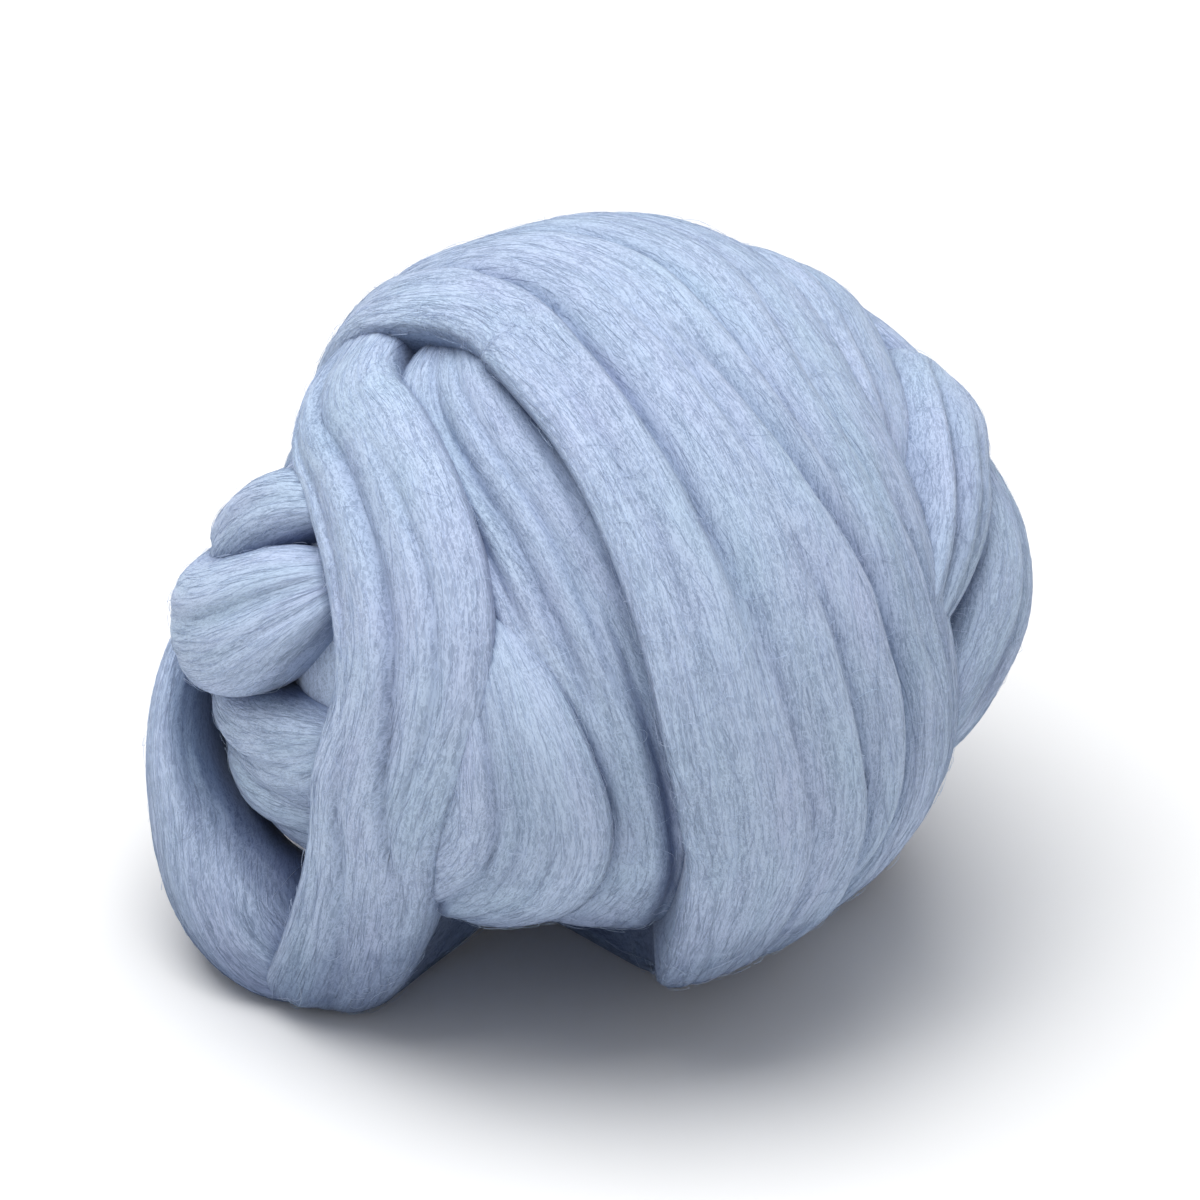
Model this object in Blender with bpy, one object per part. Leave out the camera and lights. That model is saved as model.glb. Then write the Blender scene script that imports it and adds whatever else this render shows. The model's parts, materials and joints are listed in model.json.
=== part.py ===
"""Wool roving: a loose ball wound by hand from one length of combed wool top.

The ball is one solid.  A core carries flat wraps, which run round it like belts, and fuller rolls,
which turn back at its two ends.  Every table below reads in the layout frame: right, up and near as a
viewer sees the ball who looks along +Y and down by VIEW_TILT.  A wrap's place is given by two angles
from the middle of the ball: turn runs round the ball over its top, 0 nearest the viewer and 90 at the
top of the view, and side leans to the right.  A roll's sections are given in millimetres.
"""

import math
from collections import namedtuple

import bmesh
import bpy
import numpy as np

MM = 0.001
VIEW_TILT = math.radians(30.0)

# The core: half its width, its depth, and its height above and below its middle, in millimetres.
CORE_SIDE = 70.0
CORE_DEPTH = 78.0
CORE_TOP = 66.0
CORE_UNDER = 50.0
CORE_DETAIL = 4
# How far a wrap's hidden underside reaches into the core, and how high the middle rides.
BURIED = 7.0
REST_HEIGHT = 69.0

# The mesh: the length and breadth of one face on a wrap or a roll, in millimetres.
FACE_LENGTH = 10.5
FACE_BREADTH = 3.6
UNDERSIDE_FACES = 3
LEAST_FACES = 6
ROLL_SIDES = 16
# The faces over which an open end closes, and the steps between table rows when lengths are measured.
END_CLOSING = 3
MEASURING_STEPS = 24
# In metres: points this close are one point, edges this short are taken out, and the floor block's size.
MERGE = 1e-7
SLIVER = 2e-5
FLOOR_BLOCK = 0.4

WOOL_COLOUR = (0.40, 0.50, 0.66, 1.0)
WOOL_ROUGHNESS = 0.85

# top is the height of the wrap's outer face above the core, and slant how much higher its left edge is.
Row = namedtuple("Row", "turn side width top slant body")
# A crease runs from one row of its wrap to another, at a share of the width from the left edge.
Crease = namedtuple("Crease", "first last start end depth breadth")
Wrap = namedtuple("Wrap", "name closed fullness rows creases")
# A section of a roll: its middle, its breadth across the roll and its thickness towards the core.
Section = namedtuple("Section", "right up near breadth thickness")
Roll = namedtuple("Roll", "name sections")

FRONT_BAND = Wrap(
    name="front_band", closed=True, fullness=3.2,
    rows=(
        Row(turn=104, side=-38, width=48, top=10, slant=1, body=7),
        Row(turn=88, side=-24, width=64, top=10.5, slant=3, body=7),
        Row(turn=75, side=-12, width=74, top=10, slant=1, body=7),
        Row(turn=62, side=0, width=84, top=10, slant=0, body=7),
        Row(turn=48, side=8, width=88, top=11, slant=1, body=7),
        Row(turn=34, side=16, width=86, top=11, slant=2, body=7),
        Row(turn=20, side=23, width=84, top=11, slant=2, body=7),
        Row(turn=7, side=28, width=82, top=11, slant=2, body=7),
        Row(turn=-8, side=31.5, width=81, top=11, slant=2, body=7),
        Row(turn=-22, side=34, width=80, top=11, slant=2, body=7),
        Row(turn=-37, side=34, width=76, top=11, slant=2, body=7),
        Row(turn=-54, side=30, width=65, top=12, slant=2, body=7),
        Row(turn=-72, side=25.5, width=54, top=15, slant=4, body=7),
        Row(turn=-90, side=23, width=43, top=18, slant=3, body=7),
        Row(turn=-107, side=18, width=44, top=22, slant=1, body=7),
        Row(turn=-125, side=6, width=50, top=22, slant=0, body=7),
        Row(turn=-144, side=-10, width=56, top=25, slant=0, body=7),
        Row(turn=-162, side=-24, width=58, top=15, slant=0, body=7),
        Row(turn=178, side=-36, width=50, top=10, slant=0, body=7),
        Row(turn=152, side=-44, width=44, top=8, slant=0, body=7),
        Row(turn=126, side=-45, width=42, top=9, slant=0, body=7),
    ),
    creases=(
        Crease(first=0, last=8, start=0.36, end=0.24, depth=4.4, breadth=3),
        Crease(first=4, last=9.5, start=0.48, end=0.68, depth=4.6, breadth=3),
        Crease(first=8, last=13, start=0.68, end=0.56, depth=4.6, breadth=3),
        Crease(first=6.5, last=11.5, start=0.45, end=0.57, depth=3, breadth=2.8),
        Crease(first=6, last=12, start=0.84, end=0.86, depth=2.8, breadth=2.6),
        Crease(first=12, last=20, start=0.4, end=0.55, depth=3, breadth=3),
        Crease(first=13, last=19, start=0.75, end=0.8, depth=2.4, breadth=3),
    ),
)

LEFT_FALL = Wrap(
    name="left_fall", closed=True, fullness=2.4,
    rows=(
        Row(turn=74, side=-41, width=24, top=9, slant=0, body=6),
        Row(turn=61, side=-46, width=27, top=10, slant=0, body=6),
        Row(turn=48, side=-46.5, width=30, top=10, slant=0, body=6),
        Row(turn=34, side=-42.5, width=33, top=9, slant=0, body=6),
        Row(turn=17, side=-36.5, width=36, top=9, slant=0, body=6),
        Row(turn=2, side=-32, width=39, top=9, slant=0, body=6),
        Row(turn=-10, side=-31, width=39, top=9, slant=0, body=6),
        Row(turn=-22, side=-33, width=37, top=9, slant=0, body=7),
        Row(turn=-35, side=-36, width=36, top=11, slant=0, body=8),
        Row(turn=-50, side=-37, width=33, top=15, slant=0, body=9),
        Row(turn=-64, side=-37, width=30, top=24, slant=1, body=10),
        Row(turn=-77, side=-37, width=27, top=34, slant=3, body=11),
        Row(turn=-90, side=-37, width=25, top=41, slant=5, body=10),
        Row(turn=-104, side=-35, width=29, top=33, slant=5, body=7),
        Row(turn=-118, side=-29, width=33, top=18, slant=2, body=6),
        Row(turn=-136, side=-20, width=38, top=11, slant=0, body=6),
        Row(turn=-156, side=-8, width=40, top=10, slant=0, body=6),
        Row(turn=-178, side=2, width=42, top=9, slant=0, body=6),
        Row(turn=154, side=10, width=42, top=9, slant=0, body=6),
        Row(turn=129, side=4, width=40, top=8, slant=0, body=6),
        Row(turn=107, side=-11, width=36, top=6, slant=0, body=6),
        Row(turn=89, side=-30, width=26, top=7, slant=0, body=6),
    ),
    creases=(
        Crease(first=1, last=10, start=0.3, end=0.48, depth=2.8, breadth=2.2),
        Crease(first=6, last=12, start=0.74, end=0.7, depth=2.2, breadth=2.2),
        Crease(first=13, last=20, start=0.5, end=0.5, depth=2.8, breadth=2.6),
    ),
)

MIDDLE_STRIP = Wrap(
    name="middle_strip", closed=False, fullness=2.6,
    rows=(
        Row(turn=62, side=-28, width=30, top=3, slant=0, body=5),
        Row(turn=45, side=-27, width=36, top=4, slant=0, body=5),
        Row(turn=28, side=-21, width=41, top=4, slant=0, body=5),
        Row(turn=13, side=-12, width=41, top=4, slant=0, body=5),
        Row(turn=0, side=-5, width=41, top=3.5, slant=0, body=5),
        Row(turn=-14, side=1, width=40, top=3, slant=0, body=5),
        Row(turn=-28, side=5, width=42, top=3, slant=0, body=5),
        Row(turn=-42, side=6, width=46, top=3.5, slant=0, body=5),
        Row(turn=-60, side=2, width=54, top=5, slant=0, body=5),
        Row(turn=-85, side=0, width=52, top=5, slant=0, body=5),
        Row(turn=-110, side=-2, width=46, top=5, slant=0, body=5),
        Row(turn=-135, side=-6, width=36, top=3, slant=0, body=5),
    ),
    creases=(
        Crease(first=1, last=5, start=0.36, end=0.42, depth=2.6, breadth=2.2),
        Crease(first=4, last=9, start=0.44, end=0.4, depth=2.8, breadth=2.2),
    ),
)

MIDDLE_LOBE = Wrap(
    name="middle_lobe", closed=False, fullness=2.2,
    rows=(
        Row(turn=6, side=-23, width=9, top=2, slant=0, body=6),
        Row(turn=-4, side=-19.5, width=15, top=6, slant=0, body=6),
        Row(turn=-13, side=-16, width=23, top=8.5, slant=0, body=6),
        Row(turn=-22, side=-13.5, width=31, top=10, slant=0, body=6),
        Row(turn=-31, side=-12.5, width=36, top=10.5, slant=0, body=6),
        Row(turn=-40, side=-16, width=35, top=10.5, slant=0, body=6),
        Row(turn=-48, side=-22, width=31, top=9.5, slant=0, body=6),
        Row(turn=-57, side=-28.5, width=26, top=8.5, slant=0, body=6),
        Row(turn=-68, side=-34, width=20, top=7, slant=0, body=6),
    ),
    creases=(
        Crease(first=2, last=6, start=0.3, end=0.34, depth=2.2, breadth=2.4),
        Crease(first=3, last=7, start=0.68, end=0.62, depth=2, breadth=2.4),
    ),
)

CROWN_WRAP = Wrap(
    name="crown_wrap", closed=False, fullness=2.6,
    rows=(
        Row(turn=66, side=2, width=34, top=2, slant=0, body=7),
        Row(turn=80, side=2, width=42, top=6, slant=0, body=7),
        Row(turn=94, side=1, width=48, top=11, slant=0, body=7),
        Row(turn=115, side=2, width=50, top=12, slant=0, body=7),
        Row(turn=140, side=8, width=52, top=11, slant=0, body=7),
        Row(turn=165, side=17, width=50, top=11, slant=0, body=7),
        Row(turn=-170, side=25, width=48, top=15, slant=0, body=7),
        Row(turn=-150, side=30, width=44, top=24, slant=0, body=8),
        Row(turn=-131, side=32, width=40, top=29, slant=0, body=9),
        Row(turn=-113, side=30, width=34, top=20, slant=0, body=8),
        Row(turn=-98, side=26, width=26, top=6, slant=0, body=7),
    ),
    creases=(
        Crease(first=3.5, last=9, start=0.36, end=0.3, depth=3.2, breadth=2.6),
        Crease(first=4, last=9, start=0.68, end=0.66, depth=2.6, breadth=2.6),
    ),
)

SHOULDER_WRAP = Wrap(
    name="shoulder_wrap", closed=False, fullness=2.4,
    rows=(
        Row(turn=66, side=38, width=24, top=1, slant=0, body=7),
        Row(turn=84, side=35, width=32, top=4, slant=0, body=7),
        Row(turn=105, side=36, width=40, top=7, slant=0, body=7),
        Row(turn=135, side=44, width=42, top=10, slant=0, body=7),
        Row(turn=170, side=54, width=38, top=9, slant=0, body=7),
        Row(turn=-155, side=56, width=36, top=9, slant=0, body=7),
        Row(turn=-125, side=52, width=32, top=8, slant=0, body=7),
        Row(turn=-95, side=46, width=28, top=5, slant=0, body=7),
    ),
    creases=(
        Crease(first=2.5, last=7, start=0.5, end=0.45, depth=2.8, breadth=2.6),
    ),
)

EDGE_WRAP = Wrap(
    name="edge_wrap", closed=False, fullness=2.4,
    rows=(
        Row(turn=126, side=-8, width=26, top=3, slant=0, body=7),
        Row(turn=110, side=8, width=32, top=7, slant=0, body=7),
        Row(turn=95, side=21, width=33, top=8.5, slant=0, body=7),
        Row(turn=80, side=32, width=33, top=10.5, slant=0, body=7),
        Row(turn=65, side=40, width=32, top=8, slant=0, body=7),
        Row(turn=49, side=45, width=28, top=7, slant=0, body=7),
        Row(turn=33, side=48, width=24, top=5, slant=0, body=7),
        Row(turn=17, side=50, width=20, top=3, slant=0, body=7),
    ),
    creases=(
        Crease(first=1, last=6, start=0.45, end=0.52, depth=2, breadth=2.6),
    ),
)

RIGHT_UPPER_WRAP = Wrap(
    name="right_upper_wrap", closed=False, fullness=2.2,
    rows=(
        Row(turn=122, side=49, width=18, top=4, slant=0, body=8),
        Row(turn=100, side=52, width=22, top=11, slant=0, body=11),
        Row(turn=81, side=54, width=24, top=14, slant=0, body=13),
        Row(turn=64, side=55, width=25, top=16, slant=0, body=14),
        Row(turn=48, side=56, width=25, top=16, slant=0, body=15),
        Row(turn=30, side=57, width=23, top=14, slant=0, body=14),
        Row(turn=12, side=56, width=21, top=11, slant=0, body=13),
        Row(turn=-3, side=52.5, width=18, top=8, slant=0, body=10),
        Row(turn=-15, side=48, width=14, top=4, slant=0, body=7),
    ),
    creases=(
        Crease(first=1.5, last=7, start=0.36, end=0.46, depth=3.4, breadth=2.4),
    ),
)

RIGHT_OUTER_WRAP = Wrap(
    name="right_outer_wrap", closed=False, fullness=2.2,
    rows=(
        Row(turn=109, side=46.5, width=22, top=5, slant=0, body=9),
        Row(turn=90, side=57, width=27, top=9, slant=0, body=12),
        Row(turn=71, side=67, width=31, top=12, slant=0, body=15),
        Row(turn=44, side=74, width=34, top=14.5, slant=0, body=18),
        Row(turn=2, side=75, width=35, top=14, slant=0, body=18),
        Row(turn=-24, side=69, width=32, top=11, slant=0, body=15),
        Row(turn=-34, side=61.5, width=26, top=9, slant=0, body=12),
        Row(turn=-39, side=54.5, width=21, top=7, slant=0, body=10),
        Row(turn=-43, side=46, width=16, top=4, slant=0, body=8),
    ),
    creases=(
        Crease(first=1, last=6, start=0.4, end=0.45, depth=2.6, breadth=2.6),
    ),
)

BACK_BELT = Wrap(
    name="back_belt", closed=False, fullness=2.4,
    rows=(
        Row(turn=9, side=-44, width=22, top=6, slant=0, body=9),
        Row(turn=4, side=-55, width=30, top=13, slant=0, body=13),
        Row(turn=-4, side=-67, width=32, top=18, slant=0, body=16),
        Row(turn=-12, side=-81, width=31, top=20, slant=0, body=18),
        Row(turn=176, side=-81, width=31, top=17, slant=0, body=16),
        Row(turn=170, side=-65, width=38, top=14, slant=0, body=13),
        Row(turn=161, side=-46, width=46, top=14, slant=0, body=10),
        Row(turn=151, side=-24, width=50, top=14, slant=0, body=9),
        Row(turn=142, side=-2, width=50, top=15, slant=0, body=9),
        Row(turn=134, side=20, width=48, top=15, slant=0, body=9),
        Row(turn=128, side=40, width=42, top=14, slant=0, body=9),
        Row(turn=122, side=57, width=34, top=12, slant=0, body=9),
        Row(turn=105, side=70, width=26, top=7, slant=0, body=9),
    ),
    creases=(
        Crease(first=4, last=12, start=0.35, end=0.42, depth=3.2, breadth=2.8),
        Crease(first=5, last=11, start=0.68, end=0.66, depth=2.6, breadth=2.6),
        Crease(first=1, last=6, start=0.5, end=0.45, depth=2, breadth=2.6),
    ),
)

LEFT_UPPER_WRAP = Wrap(
    name="left_upper_wrap", closed=False, fullness=2.2,
    rows=(
        Row(turn=24, side=-45, width=16, top=6, slant=0, body=8),
        Row(turn=31, side=-55, width=20, top=10, slant=0, body=11),
        Row(turn=40, side=-67, width=22, top=12, slant=0, body=13),
        Row(turn=75, side=-80, width=23, top=13, slant=0, body=13),
        Row(turn=138, side=-76, width=25, top=12, slant=0, body=12),
        Row(turn=146, side=-62, width=26, top=11, slant=0, body=10),
        Row(turn=148, side=-48, width=26, top=7, slant=0, body=8),
    ),
    creases=(
        Crease(first=1, last=5, start=0.5, end=0.5, depth=2.4, breadth=2.4),
    ),
)

LEFT_INNER_WRAP = Wrap(
    name="left_inner_wrap", closed=False, fullness=2.2,
    rows=(
        Row(turn=-28, side=-42, width=24, top=5, slant=0, body=8),
        Row(turn=-40, side=-54, width=30, top=9, slant=0, body=11),
        Row(turn=-58, side=-66, width=33, top=13, slant=0, body=14),
        Row(turn=-105, side=-75, width=32, top=14, slant=0, body=14),
        Row(turn=-150, side=-68, width=28, top=12, slant=0, body=12),
        Row(turn=-164, side=-54, width=24, top=9, slant=0, body=9),
        Row(turn=-170, side=-40, width=22, top=5, slant=0, body=8),
    ),
    creases=(
        Crease(first=1, last=5, start=0.5, end=0.5, depth=2.4, breadth=2.4),
    ),
)

BACK_INNER_WRAP = Wrap(
    name="back_inner_wrap", closed=False, fullness=2.6,
    rows=(
        Row(turn=100, side=-22, width=34, top=1, slant=0, body=7),
        Row(turn=122, side=-25, width=42, top=4, slant=0, body=7),
        Row(turn=148, side=-24, width=44, top=4, slant=0, body=7),
        Row(turn=176, side=-18, width=42, top=4, slant=0, body=7),
        Row(turn=-156, side=-8, width=36, top=1, slant=0, body=7),
    ),
    creases=(
        Crease(first=0, last=4, start=0.55, end=0.5, depth=2.4, breadth=2.6),
    ),
)

LEFT_END_WRAP = Wrap(
    name="left_end_wrap", closed=False, fullness=2.4,
    rows=(
        Row(turn=40, side=-50, width=24, top=2, slant=0, body=7),
        Row(turn=62, side=-58, width=30, top=3, slant=0, body=8),
        Row(turn=90, side=-65, width=36, top=3, slant=0, body=8),
        Row(turn=122, side=-68, width=36, top=4, slant=0, body=8),
        Row(turn=152, side=-64, width=32, top=5, slant=0, body=8),
        Row(turn=174, side=-56, width=26, top=4, slant=0, body=7),
    ),
    creases=(
        Crease(first=0, last=5, start=0.4, end=0.45, depth=3, breadth=2.6),
        Crease(first=1, last=5, start=0.72, end=0.7, depth=2.4, breadth=2.6),
    ),
)

LEFT_UNDER_WRAP = Wrap(
    name="left_under_wrap", closed=False, fullness=2.4,
    rows=(
        Row(turn=-50, side=-38, width=24, top=2, slant=0, body=8),
        Row(turn=-66, side=-49, width=34, top=9, slant=0, body=10),
        Row(turn=-90, side=-59, width=40, top=17, slant=0, body=12),
        Row(turn=-118, side=-59, width=38, top=18, slant=0, body=12),
        Row(turn=-142, side=-50, width=34, top=13, slant=0, body=10),
        Row(turn=-158, side=-38, width=30, top=6, slant=0, body=8),
    ),
    creases=(
        Crease(first=1, last=5, start=0.4, end=0.5, depth=2.4, breadth=2.6),
    ),
)

LEFT_LOOP = Roll(
    name="left_loop",
    sections=(
        Section(right=-46, up=-64, near=4, breadth=22, thickness=26),
        Section(right=-61, up=-65, near=-2, breadth=28, thickness=31),
        Section(right=-73, up=-57, near=-8, breadth=31, thickness=28),
        Section(right=-81, up=-45, near=-13, breadth=32, thickness=23),
        Section(right=-86, up=-31, near=-16, breadth=31, thickness=17),
        Section(right=-85, up=-19, near=-22, breadth=28, thickness=15),
        Section(right=-81, up=-10, near=-32, breadth=25, thickness=15),
        Section(right=-70, up=-4, near=-43, breadth=23, thickness=15),
        Section(right=-52, up=0, near=-50, breadth=18, thickness=13),
    ),
)

ROLLS = (LEFT_LOOP,)
WRAPS = (
    BACK_INNER_WRAP, LEFT_END_WRAP, LEFT_UNDER_WRAP, LEFT_INNER_WRAP, SHOULDER_WRAP, EDGE_WRAP,
    CROWN_WRAP, MIDDLE_STRIP, MIDDLE_LOBE, LEFT_FALL, RIGHT_UPPER_WRAP,
    FRONT_BAND, LEFT_UPPER_WRAP, BACK_BELT, RIGHT_OUTER_WRAP,
)


def clear_scene():
    for thing in list(bpy.data.objects):
        bpy.data.objects.remove(thing, do_unlink=True)


def from_angles(turn, side):
    """The direction, in the layout frame as right, away and up, of a turn and a side in degrees."""
    turn, side = math.radians(turn), math.radians(side)
    return np.array([math.sin(side), -math.cos(side) * math.cos(turn), math.cos(side) * math.sin(turn)])


def to_world(point):
    """Tilts layout points, as right, away and up in the last axis, into the standing ball's frame."""
    right, away, up = point[..., 0], point[..., 1], point[..., 2]
    depth = away * math.cos(VIEW_TILT) + up * math.sin(VIEW_TILT)
    height = up * math.cos(VIEW_TILT) - away * math.sin(VIEW_TILT)
    return np.stack([right, depth, height], axis=-1)


def unit(vectors):
    return vectors / np.linalg.norm(vectors, axis=-1, keepdims=True)


def core_radius(direction):
    """The distance from the middle to the core's surface, in millimetres, along layout directions."""
    side, depth, height = np.moveaxis(to_world(direction), -1, 0)
    tall = np.where(height > 0.0, CORE_TOP, CORE_UNDER)
    return 1.0 / np.sqrt((side / CORE_SIDE) ** 2 + (depth / CORE_DEPTH) ** 2 + (height / tall) ** 2)


def smooth_between(values, closed, place):
    """The values of a table's rows at fractional places along it, on a Catmull-Rom curve."""
    count = len(values)
    low = int(math.floor(place))
    share = place - low

    def row(index):
        return values[index % count] if closed else values[min(max(index, 0), count - 1)]

    before, start, end, after = (row(low + step) for step in (-1, 0, 1, 2))
    return 0.5 * (2.0 * start + (end - before) * share
                  + (2.0 * before - 5.0 * start + 4.0 * end - after) * share ** 2
                  + (3.0 * start - before - 3.0 * end + after) * share ** 3)


def even_places(points, closed, spacing):
    """Fractional places along a table whose points are about as far apart as spacing."""
    last = len(points) if closed else len(points) - 1
    fine = np.linspace(0.0, last, last * MEASURING_STEPS + 1)
    route = np.array([smooth_between(points, closed, place) for place in fine])
    walked = np.concatenate([[0.0], np.cumsum(np.linalg.norm(np.diff(route, axis=0), axis=1))])
    count = max(int(round(walked[-1] / spacing)), LEAST_FACES)
    return np.interp(np.linspace(0.0, walked[-1], count + 1), walked, fine)


def crease_depth(creases, place, across, width):
    """How far the creases lower a wrap's face at one place along it and a share across it."""
    depth = 0.0
    for crease in creases:
        if crease.first < place < crease.last:
            along = (place - crease.first) / (crease.last - crease.first)
            middle = crease.start + (crease.end - crease.start) * along
            fade = math.sin(math.pi * along) ** 0.5
            gap = (across - middle) * width / crease.breadth
            depth += crease.depth * fade * math.exp(-abs(gap))
    return depth


def loft(name, stations, around, closed, place_point):
    """A closed solid skinned over its stations: a grid rolled up round its length, and its seams merged."""
    mesh = bmesh.new()
    bmesh.ops.create_grid(mesh, x_segments=stations, y_segments=around, size=0.5)
    for vertex in mesh.verts:
        along = min(max(vertex.co.x + 0.5, 0.0), 1.0)
        turn = min(max(vertex.co.y + 0.5, 0.0), 1.0)
        station = int(round(along * stations))
        step = int(round(turn * around)) % around
        if closed:
            station %= stations
        vertex.co = to_world(place_point(station, step)) * MM
    bmesh.ops.remove_doubles(mesh, verts=mesh.verts, dist=MERGE)
    bmesh.ops.recalc_face_normals(mesh, faces=mesh.faces)
    bmesh.ops.triangulate(mesh, faces=mesh.faces)
    return new_object(name, mesh)


def new_object(name, mesh):
    data = bpy.data.meshes.new(name)
    mesh.to_mesh(data)
    mesh.free()
    thing = bpy.data.objects.new(name, data)
    bpy.context.scene.collection.objects.link(thing)
    return thing


def make_core():
    mesh = bmesh.new()
    bmesh.ops.create_icosphere(mesh, subdivisions=CORE_DETAIL, radius=1.0)
    for vertex in mesh.verts:
        direction = np.array(vertex.co)
        vertex.co = to_world(direction * core_radius(direction)) * MM
    return new_object("roving_ball", mesh)


def end_scale(station, stations):
    """A roll's or an open wrap's size near its ends, which close to a rounded point."""
    inward = min(station, stations - station) / END_CLOSING
    return math.sqrt(1.0 - (1.0 - min(inward, 1.0)) ** 2)


def make_wrap(wrap):
    """A flat band round the core: its rounded face and edges show, and its underside is in the core."""
    middles = np.array([from_angles(row.turn, row.side) for row in wrap.rows])
    sizes = np.array([row[2:] for row in wrap.rows], dtype=float)
    reach = np.array([middle * core_radius(middle) for middle in middles])
    places = even_places(reach, wrap.closed, FACE_LENGTH)
    stations = len(places) - 1
    over = max(int(round(sizes[:, 0].max() / FACE_BREADTH)), LEAST_FACES)
    around = over + UNDERSIDE_FACES
    route = unit(np.array([smooth_between(middles, wrap.closed, place) for place in places]))
    if wrap.closed:
        ahead = np.roll(route[:-1], -1, axis=0) - np.roll(route[:-1], 1, axis=0)
        ahead = np.vstack([ahead, ahead[:1]])
    else:
        ahead = np.gradient(route, axis=0)

    def place_point(station, step):
        middle = route[station]
        across_way = unit(np.cross(middle, ahead[station]))
        width, top, slant, body = smooth_between(sizes, wrap.closed, places[station])
        scale = 1.0 if wrap.closed else end_scale(station, stations)
        if step <= over:
            even = 2.0 * step / over - 1.0
            lean = 0.5 * even + 0.5 * math.sin(0.5 * math.pi * even)
        else:
            even = 1.0 - 2.0 * (step - over) / UNDERSIDE_FACES
            lean = even
        round_off = max(1.0 - abs(lean) ** wrap.fullness, 0.0) ** (1.0 / wrap.fullness)
        edge = top - 0.5 * body - slant * lean
        if step <= over:
            across = 0.5 * (lean + 1.0)
            fall = crease_depth(wrap.creases, places[station], across, width) * round_off
            height = edge + 0.5 * body * round_off * scale - fall
        else:
            height = edge - (edge + BURIED) * round_off
        base = core_radius(middle)
        angle = lean * 0.5 * width * scale / (base + top)
        direction = middle * math.cos(angle) + across_way * math.sin(angle)
        return direction * (core_radius(direction) + height)

    return loft(wrap.name, stations, around, wrap.closed, place_point)


def make_roll(roll):
    """A full roll of roving, its ends sunk in the ball."""
    middles = np.array([(row.right, -row.near, row.up) for row in roll.sections], dtype=float)
    sizes = np.array([(row.breadth, row.thickness) for row in roll.sections], dtype=float)
    places = even_places(middles, False, FACE_LENGTH)
    stations = len(places) - 1
    route = np.array([smooth_between(middles, False, place) for place in places])
    ahead = unit(np.gradient(route, axis=0))

    def place_point(station, step):
        breadth, thickness = smooth_between(sizes, False, places[station]) * end_scale(station, stations)
        across_way = unit(np.cross(ahead[station], unit(route[station])))
        outward = np.cross(across_way, ahead[station])
        angle = 2.0 * math.pi * step / ROLL_SIDES
        return (route[station] + across_way * 0.5 * breadth * math.cos(angle)
                + outward * 0.5 * thickness * math.sin(angle))

    return loft(roll.name, stations, ROLL_SIDES, False, place_point)


def floor_cutter():
    """A block whose top is the surface that the ball rests on, so the ball is flat where it touches."""
    mesh = bmesh.new()
    bmesh.ops.create_cube(mesh, size=FLOOR_BLOCK)
    height = -REST_HEIGHT * MM - 0.5 * FLOOR_BLOCK
    bmesh.ops.translate(mesh, verts=mesh.verts, vec=(0.0, 0.0, height))
    return new_object("floor_cutter", mesh)


def keep_outer_skin(mesh):
    """Drops the shells of pockets that are sealed in between the wraps: the largest shell is the outside."""
    unseen = set(mesh.verts)
    shells = []
    while unseen:
        edge = [unseen.pop()]
        shell = set(edge)
        while edge:
            vertex = edge.pop()
            for link in vertex.link_edges:
                other = link.other_vert(vertex)
                if other in unseen:
                    unseen.remove(other)
                    shell.add(other)
                    edge.append(other)
        shells.append(shell)
    shells.sort(key=len)
    for shell in shells[:-1]:
        bmesh.ops.delete(mesh, geom=list(shell), context="VERTS")


def join(body, tool, operation):
    """Cuts or joins one tool into the body, and keeps the result as the body's own mesh."""
    change = body.modifiers.new(tool.name, "BOOLEAN")
    change.operation = operation
    change.solver = "EXACT"
    change.object = tool
    shaped = body.evaluated_get(bpy.context.evaluated_depsgraph_get())
    mesh = bmesh.new()
    mesh.from_mesh(shaped.data)
    body.modifiers.remove(change)
    keep_outer_skin(mesh)
    bmesh.ops.triangulate(mesh, faces=mesh.faces)
    bmesh.ops.dissolve_degenerate(mesh, dist=SLIVER, edges=mesh.edges)
    bmesh.ops.triangulate(mesh, faces=mesh.faces)
    mesh.to_mesh(body.data)
    mesh.free()
    bpy.data.objects.remove(tool, do_unlink=True)


def settle(body):
    """Centres the ball over the origin with its flat spot at height zero, and says how far it moved."""
    places = np.array([vertex.co for vertex in body.data.vertices])
    low, high = places.min(axis=0), places.max(axis=0)
    shift = -np.array([(low[0] + high[0]) / 2.0, (low[1] + high[1]) / 2.0, low[2]])
    mesh = bmesh.new()
    mesh.from_mesh(body.data)
    bmesh.ops.translate(mesh, verts=mesh.verts, vec=shift)
    mesh.to_mesh(body.data)
    mesh.free()
    return shift


def wool_material():
    material = bpy.data.materials.new("combed_wool")
    material.use_nodes = True
    shader = material.node_tree.nodes["Principled BSDF"]
    shader.inputs["Base Color"].default_value = WOOL_COLOUR
    shader.inputs["Roughness"].default_value = WOOL_ROUGHNESS
    shader.inputs["Metallic"].default_value = 0.0
    return material


def main():
    clear_scene()
    ball = make_core()
    for wrap in WRAPS:
        join(ball, make_wrap(wrap), "UNION")
    for roll in ROLLS:
        join(ball, make_roll(roll), "UNION")
    join(ball, floor_cutter(), "DIFFERENCE")
    shift = settle(ball)
    ball.data.materials.clear()
    ball.data.materials.append(wool_material())
    ball.data.shade_smooth()
    return shift


if __name__ == "__main__":
    main()
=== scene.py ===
"""Combed wool roving wound into a loose ball: its wraps, rolls, fibres and stage.

The roving is one length of wool top, so every wrap and roll here is a stretch of the same band.  A wrap
lies over the ball like a belt, and a roll is a full round stretch that turns back on itself.  The tables
read in the layout frame, which is right, away and up as a viewer sees the ball from the front, looking
down by VIEW_TILT.  Turn runs round the ball over its top, 0 nearest the viewer and 90 at the top of the
view, and side leans to the right.  Lengths are in millimetres where nothing else is said.
"""

import json
import math
from collections import namedtuple

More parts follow.
